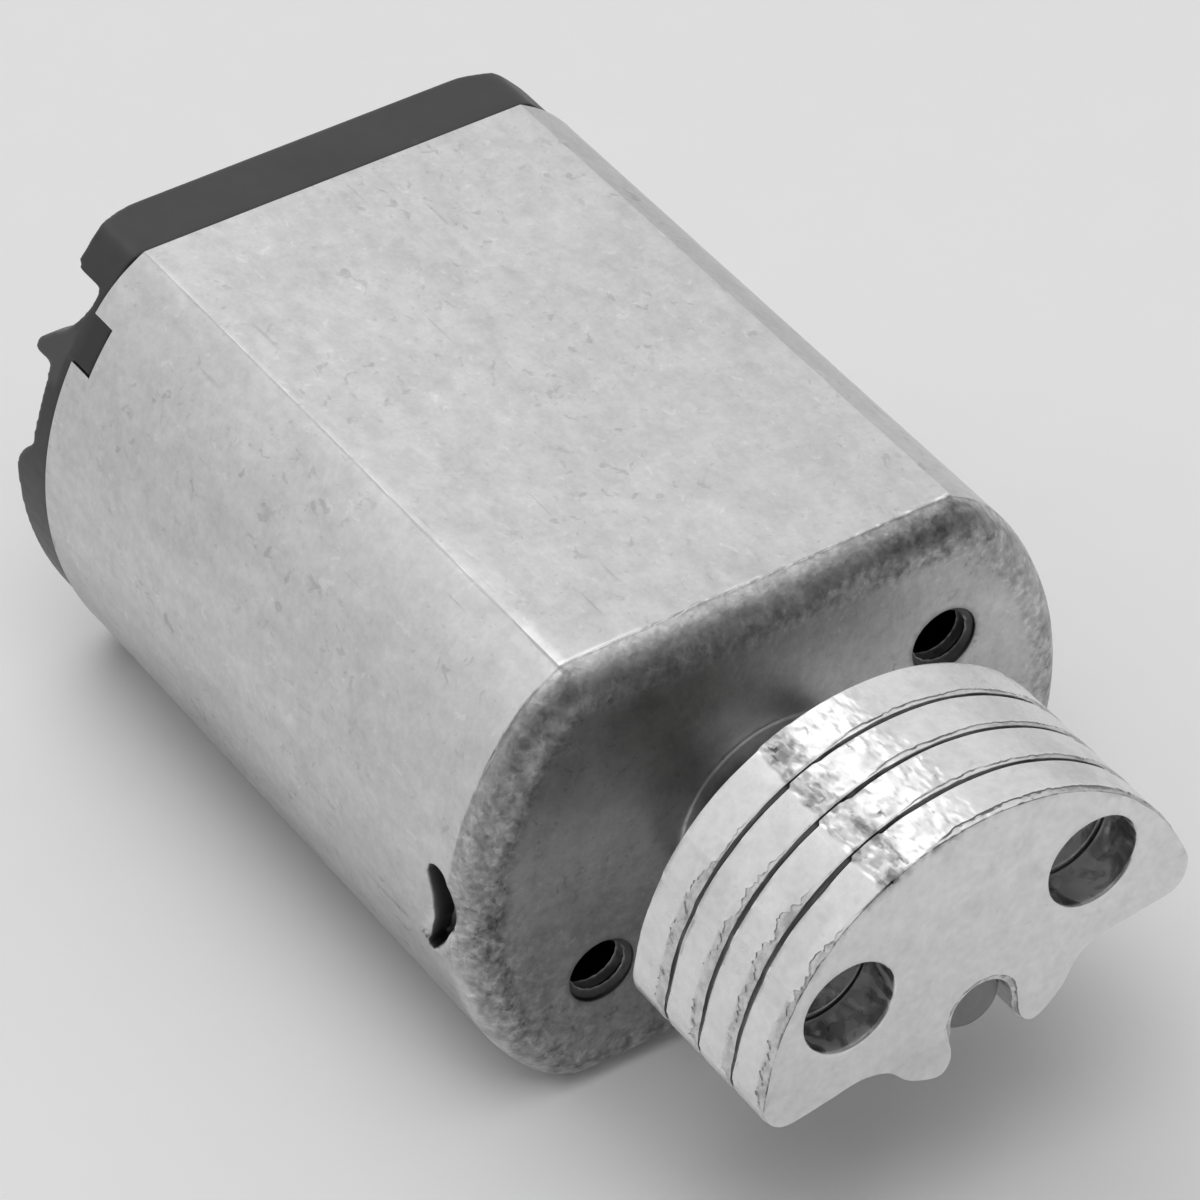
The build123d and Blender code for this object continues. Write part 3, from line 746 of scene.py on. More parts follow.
    # the burr's rear flank, a crisp step, and the torn face
    prof.append((shear - 0.016, 0.012 + st1 - 0.009 * right))
    prof.append((shear + 0.010, 0.012 + 0.85 * deep + st1 - 0.009 * right))
    for f in (0.25, 0.5, 0.75):
        g = 0.45 * deep * noise(np.column_stack([Q[:, :2], np.full(n, 3.3 * f)]), 5.5, seed + 10)
        prof.append((shear * (1 - f) + x1 * f, 0.012 + deep + st1 + g))
    prof.append((x1 - 0.014, 0.012 + deep + st1 + 0.004))
    prof.append((x1, 0.026 + deep + st1 + 0.006 * noise(Q, 4.0, seed + 15)))
    rows = []
    for xx, dd in prof:
        dd = np.broadcast_to(dd, (n,))
        yz = turned(OUT - NRM * dd[:, None])
        rows.append(np.column_stack([np.broadcast_to(xx, (n,)), yz]))
    rows = np.array(rows)
    m.grid(rows, wrap=True)
    # holes: each plate's own are a little out of place, so the walls step
    rng = np.random.RandomState(seed)
    centres = []
    for s in (1, -1):
        t = math.radians(90 - s * 52.0)
        c = np.array([5.08 * math.cos(t), 5.08 * math.sin(t)])
        if index < 3:
            c = c + rng.uniform(-0.10, 0.10, 2)
        centres.append(turned(c[None])[0])
    nh = 84
    fr, rr = [], []
    for c in centres:
        a = np.arange(nh) * 2 * math.pi / nh
        hq = np.column_stack([np.cos(a), np.sin(a), np.full(nh, c[0] + index)])
        hr = 1.45 + (0.0 if index == 3 else -0.015)
        wob = 0.012 * noise(hq, 1.5, seed + 20)
        rowsh = []
        lead = 1.0 if index == 3 else 0.3
        for xx, r_ in ((x1, hr + 0.075 * lead), (x1 - 0.012, hr + 0.045 * lead), (x1 - 0.04, hr + 0.02 * lead), (x1 - 0.09, hr + 0.002),
                       (x1 - 0.16, hr), (x1 - 0.28, hr), (x1 - 0.40, hr), (x1 - 0.52, hr), (x1 - 0.64, hr), (x1 - 0.76, hr)):
            g = 0.060 * shards(a * 1.45, np.full(nh, xx), 0.55, seed + 26 + int(c[0] > 0)) * ramp(x1 - 0.08, x1 - 0.3, xx)
            rowsh.append(np.column_stack([np.full(nh, xx), c[0] + (r_ + wob + g) * np.cos(a), c[1] + (r_ + wob + g) * np.sin(a)]))
        tr = 0.62 + 0.24 * noise(hq, 2.1, seed + 21) + 0.10 * noise(hq, 6.0, seed + 22)
        for f, r_ in ((0.0, hr), (0.05, hr + 0.05), (0.25, hr + 0.06), (0.45, hr + 0.07), (0.65, hr + 0.08), (0.85, hr + 0.09), (1.0, hr + 0.10)):
            xx = (x0 + tr) * (1 - f) + x0 * f
            g = 0.070 * shards(a * 1.45, xx, 0.50, seed + 23) * (0 < f < 1)
            rowsh.append(np.column_stack([xx, c[0] + (r_ + wob + g) * np.cos(a), c[1] + (r_ + wob + g) * np.sin(a)]))
        rowsh = np.array(rowsh)
        m.grid(rowsh, wrap=True)
        fr.append(rowsh[0][:, 1:])
        rr.append(rowsh[-1][:, 1:])
    for row, holes, xx, sgn in ((rows[-1], fr, x1, 1), (rows[0], rr, x0, -1)):
        p, tri = fill(row[:, 1:], holes, 0.24, seed=seed)
        P = np.column_stack([np.zeros(len(p)), p])
        dx = 0.006 * (fbm(P, (1, 0.9, 0.9), 2, seed + 30) - 1.0)
        fixed = near(row[:, 1:], p, 0.004)
        for h in holes:
            fixed |= near(h, p, 0.004)
        dx = np.where(fixed, 0, dx) * sgn
        m.add(np.column_stack([xx + dx, p]), tri)
    return m.make("weight_plate_%d_punched" % (index + 1), merge=0.0015, sharp=30)


plates = [plate(i) for i in range(4)]

# ================================================================= materials
def new_mat(name):
    m = bpy.data.materials.new(name)
    m.use_nodes = True
    nt = m.node_tree
    for n in list(nt.nodes):
        nt.nodes.remove(n)
    out = nt.nodes.new("ShaderNodeOutputMaterial")
    b = nt.nodes.new("ShaderNodeBsdfPrincipled")
    nt.links.new(b.outputs[0], out.inputs[0])
    return m, nt, b


class Nodes:
    """Short hand for building a material's nodes."""

    def __init__(self, nt):
        self.nt = nt
        self.co = nt.nodes.new("ShaderNodeTexCoord").outputs["Object"]

    def put(self, sock, v):
        if isinstance(v, bpy.types.NodeSocket):
            self.nt.links.new(v, sock)
        elif v is not None:
            sock.default_value = v

    def scaled(self, sx, sy, sz, rot=(0, 0, 0)):
        n = self.nt.nodes.new("ShaderNodeMapping")
        self.put(n.inputs["Vector"], self.co)
        n.inputs["Scale"].default_value = (sx, sy, sz)
        n.inputs["Rotation"].default_value = rot
        return n.outputs[0]

    def noise(self, scale, detail=3.0, rough=0.5, vec=None, dist=0.0, kind="FBM"):
        n = self.nt.nodes.new("ShaderNodeTexNoise")
        self.put(n.inputs["Vector"], vec if vec is not None else self.co)
        n.inputs["Scale"].default_value = scale
        n.inputs["Detail"].default_value = detail
        n.inputs["Roughness"].default_value = rough
        n.inputs["Distortion"].default_value = dist
        return n.outputs["Fac"]

    def voronoi(self, scale, vec=None, feature="F1", rand=1.0):
        n = self.nt.nodes.new("ShaderNodeTexVoronoi")
        n.feature = feature
        self.put(n.inputs["Vector"], vec if vec is not None else self.co)
        n.inputs["Scale"].default_value = scale
        n.inputs["Randomness"].default_value = rand
        return n.outputs["Distance"]

    def curve(self, v, a, b, lo_=0.0, hi_=1.0, smooth=True):
        n = self.nt.nodes.new("ShaderNodeMapRange")
        n.interpolation_type = "SMOOTHSTEP" if smooth else "LINEAR"
        self.put(n.inputs["Value"], v)
        n.inputs["From Min"].default_value = a
        n.inputs["From Max"].default_value = b
        n.inputs["To Min"].default_value = lo_
        n.inputs["To Max"].default_value = hi_
        return n.outputs["Result"]

    def math(self, op, a, b=None, c=None):
        n = self.nt.nodes.new("ShaderNodeMath")
        n.operation = op
        for k, v in enumerate((a, b, c)):
            if v is not None:
                self.put(n.inputs[k], v)
        return n.outputs[0]

    def mul(self, a, b):
        return self.math("MULTIPLY", a, b)

    def plus(self, a, b):
        return self.math("ADD", a, b)

    def grey(self, v):
        n = self.nt.nodes.new("ShaderNodeCombineColor")
        for k in range(3):
            self.put(n.inputs[k], v)
        return n.outputs[0]

    def mix(self, f, a, b):
        n = self.nt.nodes.new("ShaderNodeMix")
        n.data_type = "RGBA"
        self.put(n.inputs[0], f)
        self.put(n.inputs[6], a)
        self.put(n.inputs[7], b)
        return n.outputs[2]

    def bump(self, height, strength, dist, normal=None):
        n = self.nt.nodes.new("ShaderNodeBump")
        n.inputs["Strength"].default_value = strength
        n.inputs["Distance"].default_value = dist
        self.put(n.inputs["Height"], height)
        if normal is not None:
            self.put(n.inputs["Normal"], normal)
        return n.outputs[0]

    def attr(self, name):
        n = self.nt.nodes.new("ShaderNodeAttribute")
        n.attribute_name = name
        return n.outputs["Fac"]

    def edge(self, inner=0.0):
        """Pointiness: high on outer edges, low in corners."""
        n = self.nt.nodes.new("ShaderNodeNewGeometry")
        return n.outputs["Pointiness"]


def set_attr(ob, name, values):
    a = ob.data.attributes.new(name, "FLOAT", "POINT")
    a.data.foreach_set("value", np.asarray(values, np.float32))


def coords(ob):
    co = np.zeros(len(ob.data.vertices) * 3)
    ob.data.vertices.foreach_get("co", co)
    return co.reshape(-1, 3) / MM


# ---- satin plated sheet of the can
co = coords(can_ob)
rad = np.hypot(co[:, 1], co[:, 2])
edge = np.minimum(R - rad, H - np.abs(co[:, 2]))
ragged = ramp(-4.6, -3.0, co[:, 1]) + ramp(6.9, 7.4, np.abs(co[:, 1]))
xj = co[:, 0] + 0.02 * fbm(co, 1.1, 2, 51) + (0.018 + 0.035 * ragged) * noise(co, 4.0, 52) + 0.045 * ragged * noise(co, 8.0, 53)
bend = ramp(-RB - 0.015, -RB + 0.025, xj) * ramp(-0.15, 0.25, 1.35 - edge)
lower = ramp(2.0, -5.0, co[:, 2]) * ramp(2, 6, np.abs(co[:, 1]))
spread = ramp(-0.2, -0.05, co[:, 0]) * np.clip(1 - (edge - 0.8) / (1.0 + 2.0 * lower), 0, 1) ** 1.3
soft = ramp(-RB - 0.35, -RB + 0.75, xj + 0.10 * noise(co, 2.2, 54)) * ramp(-0.15, 0.25, 1.35 - edge)
bend = bend + (soft - bend) * ramp(0.0, -2.5, co[:, 2]) * ramp(YC - 1.5, YC, np.abs(co[:, 1]))
set_attr(can_ob, "bend", np.clip(np.maximum(bend, 0.9 * spread), 0, 1))
# the front face is darker in colour, partly for its duller drawn finish and partly as painted shade from the dim
# surroundings it faces
set_attr(can_ob, "front", ramp(-0.80, 0.0, co[:, 0]))
# painted light: the bend is lighter right behind the lip of each flat
set_attr(can_ob, "lip_back_painted_light", ramp(-RB - 0.02, -RB + 0.06, xj) * ramp(-0.08, -0.42, co[:, 0] + 0.06 * noise(co, 2.0, 55)) * ramp(YC + 0.4, YC - 0.6, np.abs(co[:, 1])) * ramp(4.5, -1.0, co[:, 1]) * ramp(H - 1.2, H - 0.9, np.abs(co[:, 2])))
# painted shade on the walls and floor of the slots and threads
depth_in = R - rad
below = depth_in - np.where(co[:, 0] > -RB, RB - np.sqrt(np.clip(RB ** 2 - (co[:, 0] + RB) ** 2, 0, None)), 0)
near_slot = np.flatnonzero((np.abs(co[:, 2]) < 2.0) & (co[:, 0] < -0.55) & (co[:, 0] > -2.3) & (below > 0.03) & (rad > R - 1.9))
cut = slot_loop(0.03)
cut2 = np.roll(cut, -1, 0)
in_slot = np.zeros(len(co), bool)
for sign in (1, -1):
    px, pz = co[near_slot, 0][:, None], sign * co[near_slot, 2][:, None]
    hit = ((cut[:, 1] > pz) != (cut2[:, 1] > pz)) & (px < (cut2[:, 0] - cut[:, 0]) * (pz - cut[:, 1]) / (cut2[:, 1] - cut[:, 1] + 1e-12) + cut[:, 0])
    inside = (hit.sum(1) % 2 == 1) & ((sign > 0) | (co[near_slot, 1] > 0))
    in_slot[near_slot[inside]] = True
hole_d = np.min([np.hypot(co[:, 1] - s_ * hy, co[:, 2] - s_ * hz) for s_ in (1, -1)], axis=0)
in_hole = (hole_d < 1.12) & (co[:, 0] > -1.2)
recess_painted_shade = np.where(in_slot, ramp(0.04, 0.12, below) * (0.76 + 0.10 * ramp(-1.35, -0.95, co[:, 0]) + 0.10 * ramp(0.6, 1.3, depth_in)), 0) + np.where(
    in_hole, ramp(-0.004, -0.03, co[:, 0]) * (0.10 + 0.74 * ramp(0.846, 0.876, hole_d)), 0)
set_attr(can_ob, "recess_painted_shade", np.clip(recess_painted_shade, 0, 1.12))
# painted shade: the boss is darker in colour, for the shade on its side wall and to damp the highlight on its rounded
# edge
set_attr(can_ob, "boss", ramp(0.12, 0.35, co[:, 0]))
# painted light and shade: darker on the left bend and the lower sides, lighter on the right of the front and on the
# face beside the boss
onbend = ramp(-RB - 0.01, -RB + 0.03, co[:, 0]) * ramp(-0.2, 0.35, 1.45 - edge)
shade = -0.13 * onbend * ramp(YC - 0.3, YC + 0.9, -co[:, 1]) * ramp(-3.5, 1.5, co[:, 2])
shade = shade - 0.24 * ramp(1.6, -4.6, co[:, 2]) * ramp(-RB + 0.2, -RB - 0.2, co[:, 0])
shade = shade - 0.09 * onbend * ramp(2.2, 4.2, co[:, 1]) * ramp(YC + 1.0, YC - 0.5, co[:, 1]) * ramp(H - 1.6, H - 1.0, co[:, 2])
isfront = ramp(-0.5, -0.05, co[:, 0])
shade = shade + 0.05 * onbend * ramp(YC - 0.3, YC + 0.5, -co[:, 1]) * ramp(0.5, 4.0, co[:, 2])
shade = shade + isfront * (0.02 * ramp(-2, 4, co[:, 2]) - 0.09 * ramp(4, -1, co[:, 2]) + 0.03 * ramp(-4, -7, co[:, 2]) + 0.22 * bell(co[:, 1] + 1.5, 3.2) * bell(co[:, 2] - 4.4, 2.2) + 0.10 * ramp(6.0, 8.4, co[:, 1]) * ramp(5.5, 3.5, co[:, 2]))
set_attr(can_ob, "shade", shade)
# the bevel beside each slot is lighter in colour
th = np.degrees(np.arctan2(co[:, 2], np.abs(co[:, 1])))
set_attr(can_ob, "bevel_lighter", np.where((co[:, 0] < -0.3) & (co[:, 0] > -2.4) & (depth_in < 0.25) & (np.abs(co[:, 2]) < 2.2),
                                     np.clip(facet(co[:, 0], np.radians(th) * R) * 2.5, 0, 1), 0))

# painted highlight: a light line along the front edge of each flat
on_flat = ramp(YC + 0.02, YC - 0.10, np.abs(co[:, 1])) * ramp(H - 0.12, H - 0.06, np.abs(co[:, 2])) * (rad > 5.0)
lip_v = bell(co[:, 0] + RB + 0.030 + 0.012 * noise(co, 1.6, 16), 0.065) * on_flat * (0.45 + 0.55 * ramp(2.6, 6.0, np.abs(co[:, 1])))
# painted light: the corner arcs between the flats and the curved sides grow lighter towards the front
set_attr(can_ob, "side_corner_painted_light", ramp(-14, -2, co[:, 0]) * ramp(-0.6, -1.1, co[:, 0]) * ramp(5.6, 6.4, np.abs(co[:, 1])) * ramp(3.0, 5.5, np.abs(co[:, 2])))
dotty = np.where(ragged > 0.5, ramp(0.05, 0.45, noise(co, 6.0, 18)) * 1.3, 1.0)
set_attr(can_ob, "lip", lip_v * dotty * np.clip(0.9 + 0.5 * noise(co, 1.3, 17), 0.3, 1.2))

mat_can, nt, b = new_mat("satin_nickel_plating")
N = Nodes(nt)
blot = N.noise(1100, 4, 0.6, vec=N.scaled(0.6, 1, 1))
cloud = N.noise(220, 3, 0.55, vec=N.scaled(0.6, 1, 1))
grain = N.noise(2700, 3, 0.65)
fine = N.noise(6500, 3, 0.6)
streak = N.noise(1500, 3, 0.6, vec=N.scaled(0.06, 1, 1))
smudge = N.mul(N.curve(N.noise(2100, 3, 0.6, vec=N.scaled(0.8, 1, 1), dist=0.6), 0.60, 0.67), N.curve(N.noise(320, 2, 0.5), 0.40, 0.60))
dots = N.curve(N.noise(3600, 2, 0.5, dist=0.5), 0.69, 0.74)
light = N.curve(N.noise(2500, 3, 0.6, vec=N.scaled(0.7, 1, 1), dist=0.8), 0.62, 0.70)
# short scratches along the can, in a few places
scratch = N.mul(N.curve(N.noise(4200, 1, 0.4, vec=N.scaled(0.035, 1, 1)), 0.70, 0.735), N.curve(N.noise(260, 2, 0.5), 0.55, 0.62))
bend_a = N.attr("bend")
front_a = N.attr("front")
tex = N.noise(4300, 2, 0.5)
tex2 = N.noise(1900, 2, 0.55)
flake = N.curve(N.noise(2500, 3, 0.6, dist=0.5), 0.53, 0.60)
val = N.plus(0.62, N.mul(N.math("SUBTRACT", blot, 0.5), 0.26))
val = N.plus(val, N.mul(N.math("SUBTRACT", cloud, 0.5), 0.12))
val = N.plus(val, N.mul(N.math("SUBTRACT", grain, 0.5), 0.20))
val = N.plus(val, N.mul(N.math("SUBTRACT", fine, 0.5), 0.10))
val = N.plus(val, N.mul(N.math("SUBTRACT", streak, 0.5), 0.06))
val = N.math("SUBTRACT", val, N.mul(smudge, 0.09))
val = N.math("SUBTRACT", val, N.mul(dots, 0.07))
val = N.plus(val, N.mul(light, 0.07))
val = N.math("SUBTRACT", val, N.mul(scratch, 0.09))
mottle = N.plus(N.mul(N.curve(tex, 0.36, 0.64), 0.45), N.mul(N.curve(tex2, 0.38, 0.62), 0.55))
val = N.math("SUBTRACT", val, N.mul(bend_a, N.mul(N.math("SUBTRACT", mottle, 0.44), 0.22)))
val = N.plus(val, N.mul(bend_a, N.mul(N.math("SUBTRACT", flake, 0.35), 0.10)))
# painted light on the bend behind the flats' lips
val = N.plus(val, N.mul(N.attr("lip_back_painted_light"), 0.20))
# painted shade on the boss
val = N.math("SUBTRACT", val, N.mul(N.attr("boss"), 0.22))
# painted light on the upper side corners
val = N.plus(val, N.mul(N.attr("side_corner_painted_light"), 0.055))
# darker front face: duller finish and painted shade
val = N.math("SUBTRACT", val, N.mul(front_a, 0.18))
val = N.plus(val, N.mul(N.attr("bevel_lighter"), 0.16))
# painted highlight along the flats' front edges
val = N.plus(val, N.mul(N.attr("lip"), 0.34))
# painted light and shade
val = N.plus(val, N.attr("shade"))
# painted shade darkens the slots and the thread walls
val = N.mul(val, N.math("SUBTRACT", 1.0, N.mul(N.attr("recess_painted_shade"), 0.86)))
N.put(b.inputs["Base Color"], N.grey(N.math("MAXIMUM", val, 0.012)))
b.inputs["Metallic"].default_value = 1.0
rough = N.plus(0.36, N.mul(N.math("SUBTRACT", blot, 0.5), 0.16))
rough = N.plus(rough, N.mul(smudge, 0.10))
rough = N.plus(rough, N.mul(bend_a, 0.12))
rough = N.plus(rough, N.mul(N.attr("recess_painted_shade"), 0.2))
N.put(b.inputs["Roughness"], rough)
h1 = N.bump(N.plus(fine, N.mul(grain, 0.8)), 0.25, 0.000012)
h2 = N.bump(N.plus(N.mul(blot, 1.0), N.mul(streak, 0.6)), 0.22, 0.00004, h1)
h3 = N.bump(N.mul(N.plus(bend_a, 0.01), N.plus(tex, N.mul(tex2, 1.8))), 0.50, 0.000030, h2)
h4 = N.bump(scratch, -0.5, 0.00001, h3)
N.put(b.inputs["Normal"], h4)
can_ob.data.materials.append(mat_can)
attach(can_ob, "housing")
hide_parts("can")

# ---- zinc plated punched plates
mat_w, nt, b = new_mat("zinc_plated_steel")
N = Nodes(nt)
blot = N.noise(900, 3, 0.6)
fine = N.noise(3600, 3, 0.6)
speck = N.curve(N.noise(2300, 2, 0.5), 0.68, 0.76)
patch = N.curve(N.noise(520, 3, 0.6, vec=N.scaled(0.8, 1, 1)), 0.57, 0.64)
rough_a, tear_a = N.attr("rough"), N.attr("tear")
spang = N.noise(1700, 3, 0.55, vec=N.scaled(0.6, 1.2, 1.2), dist=0.3)
val = N.plus(0.77, N.mul(N.math("SUBTRACT", blot, 0.5), 0.20))
val = N.plus(val, N.mul(N.math("SUBTRACT", fine, 0.5), 0.16))
val = N.math("SUBTRACT", val, N.mul(speck, 0.07))
val = N.math("SUBTRACT", val, N.mul(patch, 0.04))
val = N.math("SUBTRACT", val, N.mul(tear_a, N.curve(fine, 0.35, 0.65, 0.02, 0.26)))
val = N.math("SUBTRACT", val, N.mul(rough_a, N.curve(spang, 0.46, 0.58, 0.0, 0.26)))
val = N.math("SUBTRACT", val, N.mul(N.attr("strip"), N.curve(N.noise(2000, 2, 0.5, dist=0.3), 0.42, 0.58, 0.07, 0.26)))
val = N.math("SUBTRACT", val, N.mul(N.attr("gap"), 0.60))
chip = N.noise(1000, 2, 0.5, vec=N.scaled(0.8, 1, 1), dist=1.2)
val = N.math("SUBTRACT", val, N.mul(N.attr("wall"), N.curve(chip, 0.40, 0.46, 0.20, 0.0)))
val = N.math("SUBTRACT", val, N.mul(N.attr("outline"), N.curve(N.noise(1500, 3, 0.6, dist=0.4), 0.42, 0.54, 0.06, 0.48)))
val = N.plus(val, N.mul(N.attr("wall"), N.curve(chip, 0.52, 0.57, 0.0, 0.36)))
N.put(b.inputs["Base Color"], N.grey(val))
b.inputs["Metallic"].default_value = 1.0
rg = N.plus(0.27, N.mul(N.math("SUBTRACT", blot, 0.5), 0.10))
rg = N.plus(rg, N.mul(rough_a, 0.06))
rg = N.plus(rg, N.mul(tear_a, 0.16))
rg = N.plus(rg, N.mul(patch, 0.05))
rg = N.plus(rg, N.mul(N.attr("face"), 0.10))
rg = N.plus(rg, N.mul(N.attr("wall"), N.curve(chip, 0.50, 0.58, 0.0, 0.25)))
N.put(b.inputs["Roughness"], rg)
h1 = N.bump(N.noise(1400, 3, 0.5), 0.10, 0.00002)
h2 = N.bump(N.mul(N.plus(rough_a, N.mul(tear_a, 0.6)), spang), 0.45, 0.00004, h1)
h3 = N.bump(N.mul(N.plus(tear_a, 0.06), fine), 0.7, 0.00003, h2)
N.put(b.inputs["Normal"], h3)
for i, ob in enumerate(plates):
    co = coords(ob)
    x1 = FRONT - (3 - i) * PITCH
    back_t = np.array([[ct, st_], [-st_, ct]])
    uv = co[:, 1:] @ back_t.T
    ang = np.degrees(np.arctan2(uv[:, 0], uv[:, 1]))
    r = np.hypot(uv[:, 0], uv[:, 1])
    on = ramp(PLATE_R - 0.35, PLATE_R - 0.15, r)
    slant = ang - 0.9 * (3 - i) + 1.0 * noise(np.column_stack([uv, co[:, 0]]), 3.0, 61 + i)
    rough_v = on * ramp(-21.0, -20.0, slant) * ramp(13, 0, ang)
    strip_v = on * ramp(-21.0, -20.2, slant) * ramp(-11.5, -13.6, slant)
    set_attr(ob, "rough", np.clip(0.55 * rough_v + 0.45 * strip_v, 0, 1))
    # the torn zone: rim points close to the front face and below the rim's own surface
    edge_d = PLATE_R - r
    mask = ramp(x1 - 0.44, x1 - 0.30, co[:, 0]) * (r > 1.35)
    low = ramp(0.024, 0.040, edge_d) * (ang < 200)
    hole = np.zeros(len(co))
    for s in (1, -1):
        t = math.radians(90 - s * 52.0)
        c = np.array([5.08 * math.cos(t), 5.08 * math.sin(t)])
        dd = np.hypot(*(uv - c).T)
        hole = np.maximum(hole, ramp(0.28, 0.12, np.abs(dd - 1.49)))
    flat = (np.abs(co[:, 0] - x1) < 0.0130) | (np.abs(co[:, 0] - x1 + PLATE_T) < 0.0130)
    side = (~flat).astype(float)
    tear_v = mask * side * low * (1 - hole) * (ramp(-22, -40, ang) + ramp(14, 30, ang))
    hole_t = hole * side * ramp(x1 - PLATE_T + 0.5, x1 - PLATE_T + 0.3, co[:, 0])
    set_attr(ob, "tear", np.clip(np.maximum(tear_v, 0.35 * hole_t), 0, 1))
    set_attr(ob, "wall", hole * side)
    set_attr(ob, "outline", (i == 3) * (1 - hole) * ramp(x1 - 0.06, x1 - 0.012, co[:, 0]) * (side + (1 - side) * ramp(0.10, 0.0, edge_d)) * ramp(PLATE_R - 0.9, PLATE_R - 0.6, r)
             + (i == 3) * (1 - hole) * side * ramp(x1 - 0.06, x1 - 0.012, co[:, 0]) * (r < PLATE_R - 0.6)
             + 0.5 * (i == 3) * side * ramp(x1 - 0.085, x1 - 0.075, co[:, 0]) * ramp(x1 - 0.02, x1 - 0.04, co[:, 0]) * (r < 1.5))
    set_attr(ob, "strip", strip_v)
    # painted shade: the dark lines between the plates are also darkened in colour
    set_attr(ob, "gap", np.clip(side * (1 - hole) * ramp(0.03, 0.10, edge_d) * (co[:, 0] < x1 - PLATE_T + 0.18) * (i > 0), 0, 1))
    set_attr(ob, "face", flat.astype(float))
    ob.data.materials.append(mat_w)
    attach(ob, "rotor")
    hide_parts("weight_plate_%d" % (i + 1))


# ---- the carried-over nodes
def metal(name, color, rough, spread=0.08, bump=0.15, scale=1200, stretch=(1, 1, 1), metallic=1.0, dark=0.25):
    m, nt, b = new_mat(name)
    N = Nodes(nt)
    a = N.noise(scale, 4, 0.6, vec=N.scaled(*stretch))
    c = N.noise(scale * 0.2, 3, 0.5)
    s = N.curve(N.noise(scale * 1.8, 2, 0.5), 0.66, 0.75)
    f = N.plus(N.mul(a, 0.6), N.mul(c, 0.4))
    darker = tuple(x * (1 - dark) for x in color) + (1,)
    lighter = tuple(min(1, x * (1 + dark * 0.6)) for x in color) + (1,)
    colr = N.mix(N.curve(f, 0.3, 0.7), darker, lighter)
    colr = N.mix(N.mul(s, 0.6), colr, tuple(x * 0.45 for x in color) + (1,))
    N.put(b.inputs["Base Color"], colr)
    b.inputs["Metallic"].default_value = metallic
    N.put(b.inputs["Roughness"], N.plus(rough, N.mul(N.math("SUBTRACT", a, 0.5), spread * 2)))
    N.put(b.inputs["Normal"], N.bump(a, bump, 0.00003))
    return m


def plastic(name, color, rough, bump=0.12, scale=2500, dark=0.18, spec=0.5, keys=False):
    m, nt, b = new_mat(name)
    N = Nodes(nt)
    a = N.noise(scale, 3, 0.55)
    c = N.noise(scale * 0.08, 3, 0.5)
    dust = N.curve(N.noise(scale * 0.5, 2, 0.5), 0.70, 0.78)
    edge = N.curve(N.edge(), 0.53, 0.62)
    base = N.mix(N.curve(c, 0.3, 0.7), tuple(x * (1 - dark) for x in color) + (1,), tuple(x * (1 + dark) for x in color) + (1,))
    base = N.mix(N.mul(dust, 0.35), base, tuple(min(1, x * 1.8 + 0.03) for x in color) + (1,))
    base = N.mix(N.mul(edge, 0.35), base, tuple(min(1, x * 1.5 + 0.01) for x in color) + (1,))
    # painted shade: faces turned away from up are darker in colour
    up = nt.nodes.new("ShaderNodeSeparateXYZ")
    nt.links.new(nt.nodes.new("ShaderNodeTexCoord").outputs["Normal"], up.inputs[0])
    base = N.mix(N.curve(up.outputs[2], 0.35, 0.85, 0.55, 0.0), base, tuple(x * 0.35 for x in color) + (1,))
    if keys:
        along = nt.nodes.new("ShaderNodeSeparateXYZ")
        N.put(along.inputs[0], N.co)
        # painted shade: the part of the cover that sits in the can's notches is near black
        base = N.mix(N.curve(along.outputs[0], -0.02285, -0.02245, 0.0, 0.55), base, (0.006, 0.006, 0.006, 1))
        # painted highlight: the two ears beside the notches are lighter in colour
        height = N.math("ABSOLUTE", along.outputs[2], 0.0)
        ear = N.mul(N.curve(N.math("ABSOLUTE", along.outputs[1], 0.0), 0.0083, 0.0087), N.curve(along.outputs[0], -0.02320, -0.02295, 0.85, 0.0))
        ear = N.mul(ear, N.mul(N.curve(height, 0.0034, 0.0038), N.curve(height, 0.0056, 0.0052)))
        base = N.mix(ear, base, (0.062, 0.062, 0.063, 1))
    N.put(b.inputs["Base Color"], base)
    N.put(b.inputs["Roughness"], N.plus(rough, N.mul(N.math("SUBTRACT", a, 0.5), 0.16)))
    b.inputs["Specular IOR Level"].default_value = spec
    N.put(b.inputs["Normal"], N.bump(a, bump, 0.00002))
    return m


bell_mat = plastic("dark_moulded_plastic", (0.030, 0.030, 0.031), 0.45, keys=True)
MATS = {
    "end_bell": bell_mat,
    "front_bearing": metal("sintered_bronze", (0.42, 0.29, 0.15), 0.45, scale=3500, dark=0.35, bump=0.3),
    "rear_bearing": None,
    "magnet_left": plastic("ferrite", (0.07, 0.068, 0.068), 0.55, bump=0.25),
    "magnet_right": None,
    "magnet_spring": metal("spring_strip", (0.50, 0.50, 0.51), 0.3, stretch=(0.1, 1, 1)),
    "shaft": None,
    "armature_laminations": metal("electrical_steel", (0.33, 0.33, 0.35), 0.4, stretch=(3, 1, 1)),
    "core_insulator_front": plastic("red_brown_insulator", (0.36, 0.10, 0.04), 0.5),
    "core_insulator_rear": None,
    "winding_1": None, "winding_2": None, "winding_3": None,
    "commutator_hub": None, "commutator_segments": metal("turned_copper", (0.72, 0.38, 0.22), 0.28, stretch=(4, 1, 1)),
    "commutator_ring": None,
    "thrust_washer_front": plastic("washer_sheet", (0.62, 0.60, 0.55), 0.5), "thrust_washer_rear": None,
    "terminal_left": metal("tinned_brass", (0.66, 0.60, 0.47), 0.30, scale=1500, stretch=(0.3, 1, 1)), "terminal_right": None,
    "brush_left": metal("bronze_leaf", (0.62, 0.38, 0.20), 0.3, stretch=(1, 1, 0.15)), "brush_right": None,
}
